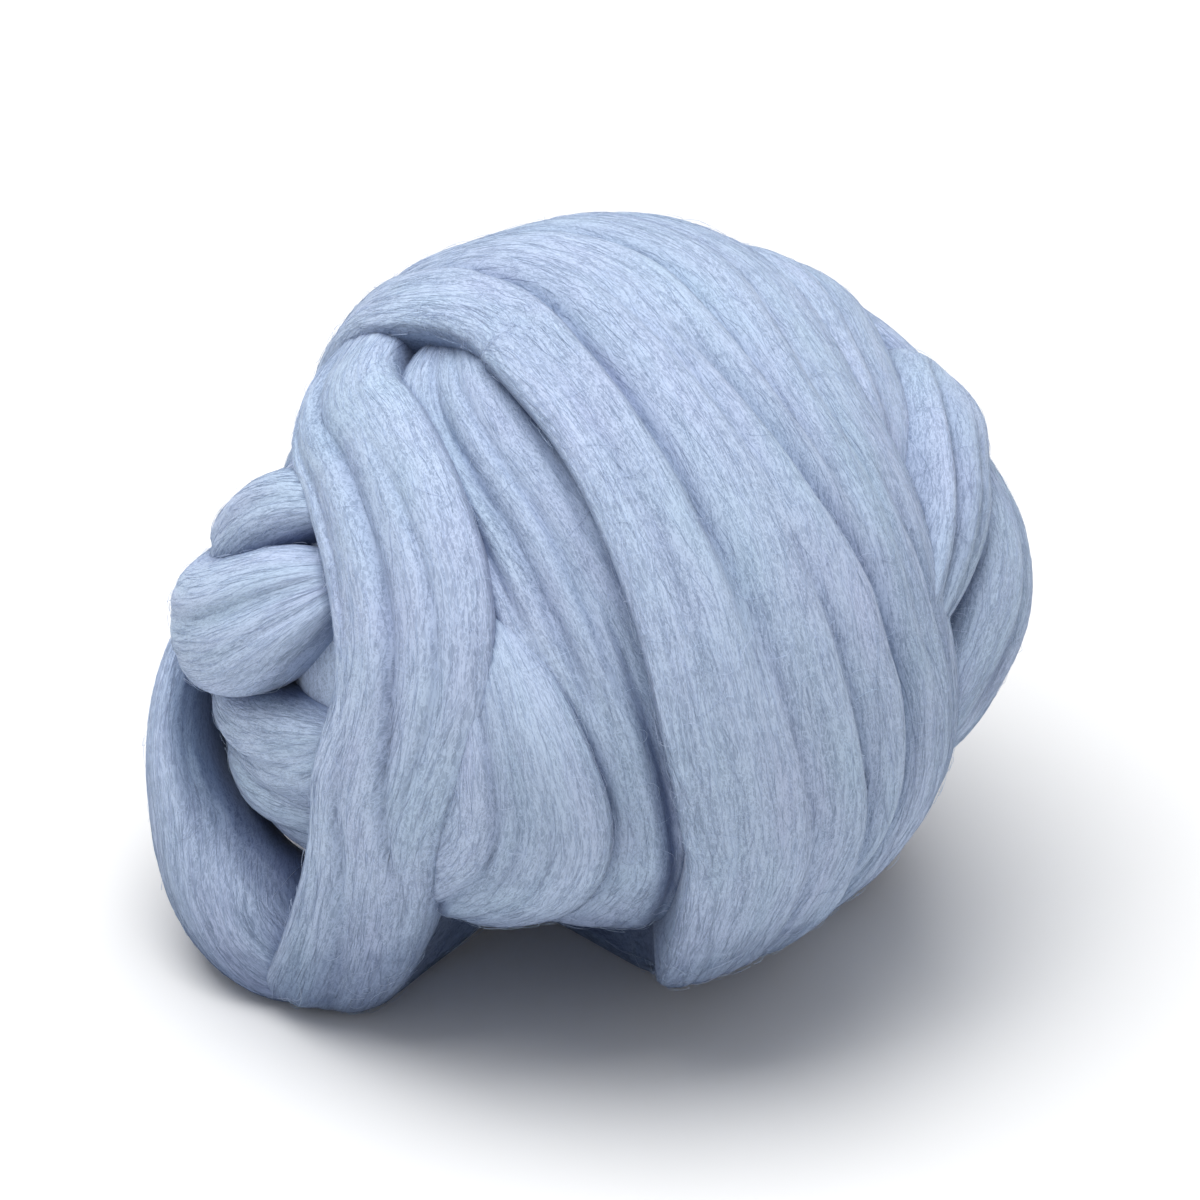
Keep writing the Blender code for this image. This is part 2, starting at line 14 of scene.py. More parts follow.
import bmesh
import bpy
import numpy as np
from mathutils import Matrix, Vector
from mathutils.bvhtree import BVHTree

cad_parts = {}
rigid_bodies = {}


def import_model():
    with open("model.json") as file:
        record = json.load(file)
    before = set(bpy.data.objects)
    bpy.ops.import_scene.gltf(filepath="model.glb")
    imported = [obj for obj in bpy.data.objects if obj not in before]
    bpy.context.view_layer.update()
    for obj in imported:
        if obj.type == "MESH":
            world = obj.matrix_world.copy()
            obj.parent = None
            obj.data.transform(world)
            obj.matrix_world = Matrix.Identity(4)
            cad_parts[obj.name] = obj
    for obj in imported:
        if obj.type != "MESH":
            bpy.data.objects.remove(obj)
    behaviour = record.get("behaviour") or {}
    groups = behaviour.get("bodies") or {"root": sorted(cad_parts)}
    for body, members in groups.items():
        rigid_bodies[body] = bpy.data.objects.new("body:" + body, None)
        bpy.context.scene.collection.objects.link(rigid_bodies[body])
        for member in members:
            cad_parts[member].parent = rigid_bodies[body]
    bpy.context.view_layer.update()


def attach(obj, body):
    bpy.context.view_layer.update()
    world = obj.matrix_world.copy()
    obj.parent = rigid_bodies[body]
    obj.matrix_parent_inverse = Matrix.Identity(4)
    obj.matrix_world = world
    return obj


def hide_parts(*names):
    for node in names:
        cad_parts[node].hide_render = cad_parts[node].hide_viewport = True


bl_info = {
    "name": "Wool roving ball",
    "version": (1, 0, 0),
    "blender": (4, 5, 0),
    "location": "3D View > Sidebar > Roving",
    "description": "Winds a loose ball of combed wool roving, combs its fibres and lights it",
    "category": "Add Mesh",
}

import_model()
BODY = "root"
NODE = "roving_ball"

# A millimetre in metres, a square centimetre in square millimetres, and half a turn in degrees.
MM = 0.001
SQUARE_CM = 100.0
HALF_TURN = 180.0
# How far the camera looks down, which is also how far the layout frame is tilted.
VIEW_TILT = math.radians(30.0)
# The middle of the ball, from which all angles are counted, in metres.
BALL_MIDDLE = np.array((0.00633, -0.00214, 0.069))

# The core: half its width and half its depth, and how far it reaches above and below the ball's middle.
CORE_SIDE = 70.0
CORE_DEPTH = 78.0
CORE_TOP = 66.0
CORE_UNDER = 50.0
# How often the sphere that the core is made from is divided.
CORE_DETAIL = 6
# How far a wrap's hidden underside reaches into the core, and the length over which an end closes.
BURIED = 7.0
END_CLOSING = 31.5

# The size of one face on a wrap, along it and across it, the faces across its underside, and the fewest
# faces either way.
FACE_LENGTH = 2.4
FACE_BREADTH = 0.7
UNDERSIDE_FACES = 16
LEAST_FACES = 12
# The steps from one row of a table to the next in which its length is measured.
MEASURING_STEPS = 24
# Corners closer than this, in metres, are made one.
MERGE = 1e-7
# How much deeper a wrap's soft edges are rounded here than the solid's.
EDGE_SOFTNESS = 1.5
# How far to either side, in rows, the run of a wrap or a roll is read from its table.
WRAP_HEADING_STEP = 0.3
ROLL_HEADING_STEP = 0.25

# A wrap's row: the turn and side of its middle, in degrees, and in millimetres its width, the height of
# its outer face above the core, how much higher its left edge lies than its middle, and its thickness.
Row = namedtuple("Row", "turn side width top slant body", defaults=(0, 7))
# A crease runs from one row of its wrap to another, through shares of the width from the left edge.
Crease = namedtuple("Crease", "first last shares depth breadth")
# fullness is how squarely a wrap's section is rounded, 2 being an ellipse, and seam is the row, out of
# sight, where a closed wrap's fibre map starts.
Wrap = namedtuple("Wrap", "name fullness rows creases closed seam", defaults=(False, 0))
# A section of a roll: its middle, its breadth across the roll, its thickness towards the core, and how
# far its strands have turned round it by then, in degrees.
Section = namedtuple("Section", "right up near breadth thickness twist")
Roll = namedtuple("Roll", "name sections")
# Soft folds of the combed locks: their pitch across and along the wool, and their depth, in millimetres.
Lock = namedtuple("Lock", "pitch stretch depth")

LOCKS = (Lock(13.0, 150.0, 1.2), Lock(5.5, 95.0, 0.5), Lock(2.4, 60.0, 0.16))
LOCK_SHARPNESS = 0.8
LOCK_SEED = 5
# The locks wander sideways as they run: how far in pitches, and how fast along and across the wool.
LOCK_WANDER_SEED = 11
LOCK_WANDER_REACH = 0.6
LOCK_WANDER_ALONG = 1.7
LOCK_WANDER_ACROSS = 0.02
# The share of the locks' height that is left at a wrap's edges, and the rest of it.
LOCKS_AT_EDGE = 0.35
LOCKS_ON_FACE = 0.65
# The side of the lattice of random heights that soft noise is read from.
LATTICE = 64
# The left side of a crease is steep and has a raised lip; its right side rises gently.
LIP_HEIGHT = 0.2
LIP_PLACE = 1.5
LIP_BREADTH = 1.1
STEEP_SIDE = 0.4
GENTLE_SIDE = 1.3

FRONT_BAND = Wrap(
    "front_band", fullness=3.2, closed=True, seam=14,
    rows=(
        Row(104, -36.5, 45, 11, -1), Row(88, -24, 63, 11, 2), Row(76, -10.5, 71.5, 12),
        Row(64, 2, 79, 11), Row(50, 9.5, 78, 11, 1), Row(35.5, 17, 77, 11, 2), Row(20.5, 24, 79, 11, 2),
        Row(7, 28.5, 80, 11, 2), Row(-8, 31.5, 80, 11, 2), Row(-22, 34, 80, 11, 2),
        Row(-37, 34, 76, 11, 2), Row(-54, 30, 65, 12, 2), Row(-72, 25.5, 54, 15, 4),
        Row(-90, 23, 43, 18, 3), Row(-107, 18, 44, 22, 1), Row(-125, 6, 50, 22), Row(-144, -10, 56, 25),
        Row(-162, -24, 58, 15), Row(178, -36, 50, 10), Row(152, -44, 44, 6), Row(126, -44, 42, 6),
    ),
    creases=(
        Crease(0, 8, (0.42, 0.32, 0.25, 0.24, 0.23, 0.23, 0.24, 0.25, 0.26), 4.0, 2.2),
        Crease(6, 12, (0.24, 0.28, 0.31, 0.33, 0.36, 0.40), 1.6, 2.0),
        Crease(0.5, 6.5, (0.52, 0.55, 0.58, 0.60, 0.63, 0.68), 2.6, 2.4),
        Crease(4, 13, (0.46, 0.52, 0.58, 0.66, 0.68, 0.66, 0.62, 0.58, 0.55), 4.6, 2.6),
        Crease(3, 6.5, (0.37, 0.42, 0.47), 1.5, 2.0),
        Crease(6.5, 11.5, (0.44, 0.49, 0.50, 0.53, 0.60), 3.0, 2.0),
        Crease(6, 12, (0.82, 0.87, 0.89, 0.87, 0.83), 3.0, 2.2),
        Crease(1, 9, (0.80, 0.78, 0.76, 0.78, 0.80), 1.4, 2.6),
        Crease(2, 9, (0.08, 0.10, 0.11, 0.13, 0.15), 1.3, 2.2),
        Crease(12, 20, (0.40, 0.48, 0.55), 3.0, 3.0),
        Crease(13, 19, (0.75, 0.80), 2.4, 3.0),
    ),
)

LEFT_FALL = Wrap(
    "left_fall", fullness=2.4, closed=True, seam=14,
    rows=(
        Row(74, -41, 24, 9, 0, 6), Row(61, -46, 27, 10, 0, 6), Row(48, -46.5, 30, 10, 0, 6),
        Row(34, -42.5, 33, 9, 0, 6), Row(17, -36.5, 36, 9, 0, 6), Row(2, -32, 39, 9, 0, 6),
        Row(-10, -31, 39, 9, 0, 6), Row(-22, -33, 37, 9), Row(-35, -36, 36, 11, 0, 8),
        Row(-50, -37, 33, 15, 0, 9), Row(-64, -37, 30, 24, 1, 10), Row(-77, -37, 27, 34, 3, 11),
        Row(-90, -37, 25, 41, 5, 10), Row(-104, -35, 29, 33, 5), Row(-118, -29, 33, 18, 2, 6),
        Row(-136, -20, 38, 11, 0, 6), Row(-156, -8, 40, 10, 0, 6), Row(-178, 2, 42, 9, 0, 6),
        Row(154, 10, 42, 9, 0, 6), Row(129, 4, 40, 8, 0, 6), Row(107, -11, 36, 6, 0, 6),
        Row(89, -30, 26, 7, 0, 6),
    ),
    creases=(
        Crease(0, 9.5, (0.22, 0.30, 0.38, 0.40, 0.41, 0.42, 0.44, 0.53, 0.72, 0.86), 3.0, 2.2),
        Crease(1, 6, (0.12, 0.15, 0.12, 0.10), 1.5, 1.6),
        Crease(3, 8, (0.62, 0.68, 0.72, 0.70), 1.6, 1.8),
        Crease(7, 12, (0.22, 0.34, 0.50, 0.62), 1.6, 2.2),
        Crease(13, 20, (0.5, 0.5), 2.8, 2.6),
    ),
)

MIDDLE_STRIP = Wrap(
    "middle_strip", fullness=2.6,
    rows=(
        Row(66, -27, 30, 6, 0, 5), Row(46, -27, 37, 5, 0, 5), Row(28, -21, 41, 4, 0, 5),
        Row(13, -12, 41, 4, 0, 5), Row(0, -5, 41, 3, 0, 5), Row(-14, 1, 40, 1.8, 0, 5),
        Row(-28, 5, 42, 1.2, 0, 5), Row(-42, 6, 46, 1.2, 0, 5), Row(-60, 2, 54, 3.5, 0, 5),
        Row(-85, 0, 52, 5, 0, 5), Row(-110, -2, 46, 5, 0, 5), Row(-135, -6, 36, 3, 0, 5),
    ),
    creases=(
        Crease(0.5, 5, (0.36, 0.38, 0.36, 0.34), 3.0, 2.0),
        Crease(0.5, 5, (0.52, 0.54, 0.50), 1.8, 1.8),
        Crease(1, 4, (0.20, 0.24, 0.18), 2.0, 1.8),
        Crease(4, 9, (0.60, 0.56, 0.62), 2.2, 2.2),
    ),
)

MIDDLE_LOBE = Wrap(
    "middle_lobe", fullness=1.9,
    rows=(
        Row(9, -22.5, 13, 0.5, 0, 6), Row(-3, -19.5, 17, 4, 0, 6), Row(-13, -16, 24, 6.8, 0, 6),
        Row(-22, -13.5, 31, 8.4, 0, 6), Row(-31, -12.5, 36, 8.8, 0, 6), Row(-40, -15, 36, 9, 0, 6),
        Row(-48, -20, 34, 9, 0, 6), Row(-57, -25.5, 31, 9.5, 0, 6), Row(-68, -29.5, 28, 9, 0, 6),
        Row(-80, -33, 22, 6, 0, 6),
    ),
    creases=(
        Crease(1.5, 8, (0.30, 0.34, 0.38, 0.44), 2.2, 2.0),
        Crease(3, 8.5, (0.66, 0.64, 0.60), 1.6, 2.2),
        Crease(2.5, 6, (0.50, 0.48), 1.4, 1.6),
    ),
)

CROWN_WRAP = Wrap(
    "crown_wrap", fullness=2.6,
    rows=(
        Row(66, 2, 34, 2), Row(80, 2, 42, 6), Row(94, 1, 48, 10), Row(115, 2, 50, 12),
        Row(140, 8, 52, 11), Row(165, 17, 50, 11), Row(-170, 25, 48, 15), Row(-150, 30, 44, 24, 0, 8),
        Row(-131, 32, 40, 29, 0, 9), Row(-113, 30, 34, 20, 0, 8), Row(-98, 26, 26, 6),
    ),
    creases=(
        Crease(3.5, 9, (0.36, 0.30), 3.2, 2.6),
        Crease(4, 9, (0.68, 0.66), 2.6, 2.6),
    ),
)

SHOULDER_WRAP = Wrap(
    "shoulder_wrap", fullness=2.4,
    rows=(
        Row(66, 38, 24, 1), Row(84, 35, 32, 4), Row(105, 36, 40, 7), Row(135, 44, 42, 10),
        Row(170, 54, 38, 9), Row(-155, 56, 36, 9), Row(-125, 52, 32, 8), Row(-95, 46, 28, 5),
    ),
    creases=(Crease(2.5, 7, (0.50, 0.45), 2.8, 2.6),),
)

EDGE_WRAP = Wrap(
    "edge_wrap", fullness=2.4,
    rows=(
        Row(126, -8, 26, 3), Row(110, 8, 32, 7), Row(95, 21, 33, 9), Row(80, 31, 34, 11),
        Row(65, 40, 32, 8), Row(49, 45, 28, 7), Row(33, 48, 24, 5), Row(17, 50, 20, 3),
    ),
    creases=(Crease(1, 6, (0.45, 0.52), 2.0, 2.4),),
)

RIGHT_UPPER_WRAP = Wrap(
    "right_upper_wrap", fullness=2.2,
    rows=(
        Row(122, 49, 18, 4, 0, 8), Row(100, 52, 22, 11, 0, 11), Row(81, 54.5, 24, 13, -3, 13),
        Row(64, 56, 24, 14, -4, 14), Row(48, 57, 23, 14, -4, 15), Row(30, 57.5, 22, 13, -4, 14),
        Row(12, 56, 21, 10.5, -2, 13), Row(-3, 52.5, 18, 8, 0, 10), Row(-15, 48, 14, 4),
    ),
    creases=(
        Crease(1.5, 7, (0.36, 0.40, 0.48), 3.6, 2.0),
        Crease(3, 7, (0.66, 0.72), 1.6, 1.8),
    ),
)

RIGHT_OUTER_WRAP = Wrap(
    "right_outer_wrap", fullness=2.2,
    rows=(
        Row(109, 46.5, 22, 5, 0, 9), Row(90, 57, 27, 9, 0, 12), Row(71, 67, 31, 12, 0, 15),
        Row(44, 74, 34, 14.5, 0, 18), Row(2, 75, 35, 14, 0, 18), Row(-24, 69, 32, 11, 0, 15),
        Row(-34, 61.5, 26, 9, 0, 12), Row(-39, 54.5, 21, 7, 0, 10), Row(-43, 46, 16, 4, 0, 8),
    ),
    creases=(
        Crease(1, 6, (0.40, 0.45), 2.4, 2.2),
        Crease(2, 7, (0.70, 0.64), 1.6, 2.0),
    ),
)

BACK_BELT = Wrap(
    "back_belt", fullness=2.4,
    rows=(
        Row(9, -44, 22, 6, 0, 9), Row(4, -55, 30, 13, 0, 13), Row(-4, -67, 32, 18, 0, 16),
        Row(-12, -81, 31, 20, 0, 18), Row(176, -81, 31, 17, 0, 16), Row(170, -65, 38, 14, 0, 13),
        Row(161, -46, 46, 14, 0, 10), Row(151, -24, 50, 14, 0, 9), Row(142, -2, 50, 15, 0, 9),
        Row(134, 20, 48, 15, 0, 9), Row(128, 40, 42, 14, 0, 9), Row(122, 57, 34, 12, 0, 9),
        Row(105, 70, 26, 7, 0, 9),
    ),
    creases=(
        Crease(5.5, 12, (0.35, 0.42), 3.2, 2.8),
        Crease(6, 11, (0.68, 0.66), 2.6, 2.6),
        Crease(0.5, 3, (0.46, 0.42), 1.1, 2.6),
    ),
)

LEFT_UPPER_WRAP = Wrap(
    "left_upper_wrap", fullness=2.2,
    rows=(
        Row(24, -45, 16, 6, 0, 8), Row(31, -55, 20, 10, 0, 11), Row(40, -67, 22, 12, 0, 13),
        Row(75, -80, 23, 13, 0, 13), Row(138, -76, 25, 12, 0, 12), Row(146, -62, 26, 11, 0, 10),
        Row(148, -48, 26, 7, 0, 8),
    ),
    creases=(Crease(1, 5, (0.50, 0.50), 0.9, 2.4),),
)

LEFT_INNER_WRAP = Wrap(
    "left_inner_wrap", fullness=2.2,
    rows=(
        Row(-28, -42, 24, 5, 0, 8), Row(-40, -54, 30, 9, 0, 11), Row(-58, -66, 33, 13, 0, 14),
        Row(-105, -75, 32, 14, 0, 14), Row(-150, -68, 28, 12, 0, 12), Row(-164, -54, 24, 9, 0, 9),
        Row(-170, -40, 22, 5, 0, 8),
    ),
    creases=(Crease(1, 5, (0.50, 0.50), 2.4, 2.4),),
)

BACK_INNER_WRAP = Wrap(
    "back_inner_wrap", fullness=2.6,
    rows=(
        Row(100, -22, 34, 1), Row(122, -25, 42, 4), Row(148, -24, 44, 4), Row(176, -18, 42, 4),
        Row(-156, -8, 36, 1),
    ),
    creases=(Crease(0, 4, (0.55, 0.50), 2.4, 2.6),),
)

LEFT_END_WRAP = Wrap(
    "left_end_wrap", fullness=2.4,
    rows=(
        Row(40, -50, 24, 2), Row(62, -58, 30, 3, 0, 8), Row(90, -65, 36, 3, 0, 8),
        Row(122, -68, 36, 4, 0, 8), Row(152, -64, 32, 5, 0, 8), Row(174, -56, 26, 4),
    ),
    creases=(
        Crease(0, 5, (0.40, 0.45), 3.0, 2.6),
        Crease(1, 5, (0.72, 0.70), 2.4, 2.6),
    ),
)

LEFT_UNDER_WRAP = Wrap(
    "left_under_wrap", fullness=2.4,
    rows=(
        Row(-50, -38, 26, 4, 0, 8), Row(-66, -49, 36, 11, 0, 10), Row(-90, -59, 40, 17, 0, 12),
        Row(-118, -59, 38, 18, 0, 12), Row(-142, -50, 34, 13, 0, 10), Row(-158, -38, 30, 6, 0, 8),
    ),
    creases=(Crease(1, 5, (0.40, 0.50), 2.4, 2.6),),
)

LEFT_LOOP = Roll("left_loop", sections=(
    Section(-46, -64, 4, 22, 26, 0),
    Section(-62, -65, -2, 29, 31, 30),
    Section(-74, -57.5, -8, 32, 29, 75),
    Section(-81.5, -45, -13, 32, 24, 105),
    Section(-86, -31, -16, 31, 17, 120),
    Section(-85, -19, -22, 28, 15, 130),
    Section(-81, -10, -32, 25, 15, 140),
    Section(-70, -4, -43, 23, 15, 150),
    Section(-52, 0, -50, 18, 13, 160),
))

ROLLS = (LEFT_LOOP,)
WRAPS = (
    BACK_INNER_WRAP, LEFT_END_WRAP, LEFT_UNDER_WRAP, LEFT_INNER_WRAP, SHOULDER_WRAP, EDGE_WRAP,
    CROWN_WRAP, MIDDLE_STRIP, MIDDLE_LOBE, LEFT_FALL, RIGHT_UPPER_WRAP,
    FRONT_BAND, LEFT_UPPER_WRAP, BACK_BELT, RIGHT_OUTER_WRAP,
)

# A stretch of roving ready to be skinned.  walked is the distance along it at each of its places.
Course = namedtuple("Course", "piece closed places walked middles sizes map_start")
# How far apart the stretches lie in the fibre map, in millimetres across.
MAP_APART = 200.0

FIBRE_MAP = "wool_run"
BAKE_MAP = "OFBake"
# The painted shade that darkens the wool's colour in creases and gaps, and the depth of a crease trough
# whose painted shade is darkest.
SHADE_LAYER = "painted_shade"
FULLY_SHADED = 6.0

FIBRE_POINTS = 5
FIBRE_SIDES = 3
FIBRE_RANDOM_SEED = 41
# How far fibres stray from the run of the wool, how far they wave, in millimetres, and how many waves.
FIBRE_SCATTER = math.radians(7.0)
FIBRE_WAVE = 0.25
FIBRE_WAVES = (0.6, 1.3)
# How high their middles stand, in millimetres, the least share of it, and how deep their ends are tucked.
FIBRE_LIFT = 0.07
FIBRE_LEAST_LIFT = 0.3
FIBRE_TUCK = 1.5
# The shares of the usual length and thickness that single fibres have.
FIBRE_LENGTHS = (0.5, 1.5)
FIBRE_THICKNESSES = (0.6, 1.4)
# How near a wrap's edges its fibres start, and the share of them on its underside.
FIBRE_EDGE = 0.99
UNDERSIDE_SHARE = 0.25
# Loose hairs: their lengths, heights and bends, in millimetres or radians.
HAIR_POINTS = 7
HAIR_RANDOM_SEED = 97
HAIR_LENGTHS = (3.0, 11.0)
HAIR_HEIGHTS = (0.2, 0.9)
HAIR_BEND = 1.3
# The shares of a combed fibre's usual thickness that the hairs have, and the deepest of their shades.
HAIR_THICKNESSES = (0.7, 1.4)
HAIR_SHADE_LOW = 0.7
# The share of the hairs that stand at a wrap's edges, and where those edges start and how wide they are.
EDGE_HAIRS = 0.35
EDGE_START = 0.9
EDGE_BREADTH = 0.1
# A fibre starts where a ray sees out: how far off the wool the ray starts and how far it goes, in metres.
OPEN_CLEARANCE = 0.0008
OPEN_REACH = 0.06
# Feelers measure how deep in a gap a place lies, which sets the painted shade there: how many, where they
# start and their reach, in metres.
FEELERS = 14
FEELER_START = 0.0006
FEELER_REACH = 0.06
# A direction that no way out of the wool points along, and the turn from one feeler to the next.
FEELER_AXIS = np.array((0.31, 0.17, 0.93))
GOLDEN_TURN = math.pi * (3.0 - math.sqrt(5.0))
# The share of the feelers that is stopped in the open too, and how strongly the others paint shade into
# the wool's colour.
OPEN_SHARE = 0.06
GAP_SHADE = 1.3
# How much of the shade from 0 to 1 a fibre's map takes up.
SHADE_WIDTH = 0.004
# The step over which the way out of a surface is measured, along and across it.
NORMAL_STEP = 0.6

# Noise drawn out along the wool: its sizes across and along in millimetres, how far it leans across as it
# runs, its share of the whole, and its seed.
Streak = namedtuple("Streak", "pitch stretch lean share seed")
STREAKS = (
    Streak(0.40, 5.5, 0.10, 0.27, 1.0), Streak(0.36, 7.0, -0.11, 0.26, 7.0),
    Streak(0.8, 30.0, 0.02, 0.23, 11.0), Streak(3.2, 90.0, 0.0, 0.24, 17.0),
)
STREAK_RANGE = (0.36, 0.66)
STREAK_DETAIL = 2.0
STREAK_ROUGHNESS = 0.6
# Curly lines like stray hairs: how near its middle value a noise makes a line, and the lines' relief.
CURLS = (
    Streak(1.0, 3.0, 0.25, 0.7, 31.0), Streak(1.3, 3.6, -0.35, 0.6, 37.0),
    Streak(0.9, 5.0, 0.0, 0.6, 43.0),
)
CURL_WIDTH = 0.035
CURL_RISE = 0.1
# How the streaks wander sideways, its share in millimetres, and how the wool drifts between two hues.
STREAK_WANDER = Streak(3.0, 9.0, 0.0, 1.4, 3.0)
HUE_DRIFT = Streak(16.0, 45.0, 0.0, 1.0, 23.0)
HUE_RANGE = (0.3, 0.7)

# The sockets of a Mix node that mixes colours, by number.
MIX_SHARE = 0
MIX_FIRST = 6
MIX_SECOND = 7
MIX_RESULT = 2

# The wool's finish.
WOOL_ROUGHNESS = 1.0
WOOL_SHINE = 0.12
WOOL_SHEEN = 0.18
WOOL_SHEEN_ROUGHNESS = 0.5
WOOL_SHEEN_TINT = (0.85, 0.92, 1.0, 1.0)
# Tints that the wool's colour is multiplied by: its two drifts of hue, and the painted shade deep in
# creases and gaps.
COOL_DRIFT = (0.95, 1.0, 0.98, 1.0)
VIOLET_DRIFT = (1.0, 0.965, 1.0, 1.0)
PAINTED_SHADE_TINT = (0.32, 0.36, 0.46, 1.0)
# The relief of the streaks, its depth in metres.
BUMP_STRENGTH = 0.42
BUMP_DEPTH = 0.0003
# As fibres' maps run from 0 to 1, their shades rise by a range from a low one, and their hues run this
# often from one drift to the other.
FIBRE_SHADE_LOW = 0.4
FIBRE_SHADE_RANGE = 1.0
FIBRE_HUE_TURNS = 7.0

# The floor's side and how far it lies under the ball, in metres, and its finish.
FLOOR_SIZE = 6.0
FLOOR_GAP = 0.0001
FLOOR_ROUGHNESS = 0.9
FLOOR_SHINE = 0.1
# The width that the picture takes in at the ball, in metres, and its middle, in layout millimetres.
PHOTO_WIDTH = 0.240
PHOTO_CENTRE = (-3.4, 0.0, 2.4)
LENS = 300.0
SENSOR = 36.0
# The studio light: the sky's colour, and the side and place of the light overhead, in metres.
SKY_COLOUR = (1.0, 1.0, 1.0, 1.0)
TOP_LIGHT_SIZE = 1.4
TOP_LIGHT_PLACE = (-0.18, -0.05, 1.55)


# ---------------------------------------------------------------- the ball's shape

def from_angles(turn, side):
    """The direction, in the layout frame as right, away and up, of a turn and a side in degrees."""
    turn, side = math.radians(turn), math.radians(side)
    return np.array([math.sin(side), -math.cos(side) * math.cos(turn), math.cos(side) * math.sin(turn)])


def to_world(point):
    """Tilts layout directions or points, as right, away and up in the last axis, into the world frame."""
    right, away, up = point[..., 0], point[..., 1], point[..., 2]
    depth = away * math.cos(VIEW_TILT) + up * math.sin(VIEW_TILT)
    height = up * math.cos(VIEW_TILT) - away * math.sin(VIEW_TILT)
    return np.stack([right, depth, height], axis=-1)


def place_in_world(point):
    """World places, in metres, of layout points in millimetres.  Nothing sinks below the surface."""
    places = to_world(point) * MM + BALL_MIDDLE
    places[..., 2] = np.maximum(places[..., 2], 0.0)
    return places


def unit(vectors):
    """The vectors at a length of one."""
    return vectors / np.linalg.norm(vectors, axis=-1, keepdims=True)


def core_radius(direction):
    """The distance from the middle to the core's surface, in millimetres, along layout directions."""
    side, depth, height = np.moveaxis(to_world(direction), -1, 0)
    tall = np.where(height > 0.0, CORE_TOP, CORE_UNDER)
    return 1.0 / np.sqrt((side / CORE_SIDE) ** 2 + (depth / CORE_DEPTH) ** 2 + (height / tall) ** 2)


def on_table(values, closed, place):
    """The values of a table's rows at fractional places along it, on a Catmull-Rom curve."""
    count = len(values)
    low = np.floor(place).astype(int)
    share = (place - low)[..., None]
    rows = low[..., None] + np.arange(-1, 3)
    rows = rows % count if closed else np.clip(rows, 0, count - 1)
    before, start, end, after = np.moveaxis(values[rows], -2, 0)
    return 0.5 * (2.0 * start + (end - before) * share
                  + (2.0 * before - 5.0 * start + 4.0 * end - after) * share ** 2
                  + (3.0 * start - before - 3.0 * end + after) * share ** 3)


def lay_course(piece, number):
    """Measures a wrap or a roll along its length."""
    if isinstance(piece, Wrap):
        closed, seam = piece.closed, piece.seam
        middles = np.array([from_angles(row.turn, row.side) for row in piece.rows])
        sizes = np.array([row[2:] for row in piece.rows], dtype=float)
        route = middles * core_radius(middles)[:, None]
    else:
        closed, seam = False, 0
        middles = np.array([(row.right, -row.near, row.up) for row in piece.sections], dtype=float)
        sizes = np.array([row[3:] for row in piece.sections], dtype=float)
        route = middles
    last = len(middles) if closed else len(middles) - 1
    places = seam + np.linspace(0.0, last, last * MEASURING_STEPS + 1)
    steps = np.diff(on_table(route, closed, places), axis=0)
    walked = np.concatenate([[0.0], np.cumsum(np.linalg.norm(steps, axis=1))])
    return Course(piece, closed, places, walked, middles, sizes, MAP_APART * number)


def place_at(course, run):
    """The places in a course's table, in rows, at distances along it."""
    return np.interp(run, course.walked, course.places)


def soft_noise(seed, across, along):
    """Smooth noise from -1 to 1, from a seeded lattice of random heights."""
    lattice = np.random.default_rng(seed).uniform(-1.0, 1.0, (LATTICE, LATTICE))
    low_a, low_b = np.floor(across).astype(int), np.floor(along).astype(int)
    ease_a, ease_b = across - low_a, along - low_b
    ease_a = ease_a * ease_a * (3.0 - 2.0 * ease_a)
    ease_b = ease_b * ease_b * (3.0 - 2.0 * ease_b)

    def height(step_a, step_b):
        return lattice[(low_a + step_a) % LATTICE, (low_b + step_b) % LATTICE]

    near = height(0, 0) * (1.0 - ease_a) + height(1, 0) * ease_a
    far = height(0, 1) * (1.0 - ease_a) + height(1, 1) * ease_a
    return near * (1.0 - ease_b) + far * ease_b


def lock_relief(map_start, run, across):
    """The soft folds of the combed locks: rounded ridges that part at narrow valleys."""
    height = 0.0
    for number, lock in enumerate(LOCKS):
        run_share = run / lock.stretch
        spread = across * LOCK_WANDER_ACROSS
        wander = soft_noise(number + LOCK_WANDER_SEED, spread, run_share * LOCK_WANDER_ALONG)
        place = (across + map_start) / lock.pitch + wander * LOCK_WANDER_REACH
        wave = soft_noise(number + LOCK_SEED, place, run_share)
        height = height + lock.depth * (np.abs(wave) ** LOCK_SHARPNESS - 0.5)
    return height


def crease_depth(wrap, place, across, width):
    """How far the creases lower a wrap's face, and the depth of trough that sets its painted shade, in
    millimetres.
    """
    depth, painted_shade = np.zeros_like(across), np.zeros_like(across)
    place = place % len(wrap.rows) if wrap.closed else place
    for crease in wrap.creases:
        along = np.clip((place - crease.first) / (crease.last - crease.first), 0.0, 1.0)
        middle = np.interp(along, np.linspace(0.0, 1.0, len(crease.shares)), crease.shares)
        fade = np.sin(math.pi * along) ** 0.5
        gap = (across - middle) * width / crease.breadth
        trough = np.exp(-np.abs(gap) / np.where(gap < 0.0, STEEP_SIDE, GENTLE_SIDE))
        lip = LIP_HEIGHT * np.exp(-((gap + LIP_PLACE) / LIP_BREADTH) ** 2)
        depth += crease.depth * fade * (trough - lip)
        painted_shade += crease.depth * fade * trough
    return depth, painted_shade


def end_scale(course, run):
    """A roll's or an open wrap's size near its ends, which close to a rounded point."""
    if course.closed:
        return np.ones_like(run)
    inward = np.clip(np.minimum(run, course.walked[-1] - run) / END_CLOSING, 0.0, 1.0)
    return np.sqrt(1.0 - (1.0 - inward) ** 2)


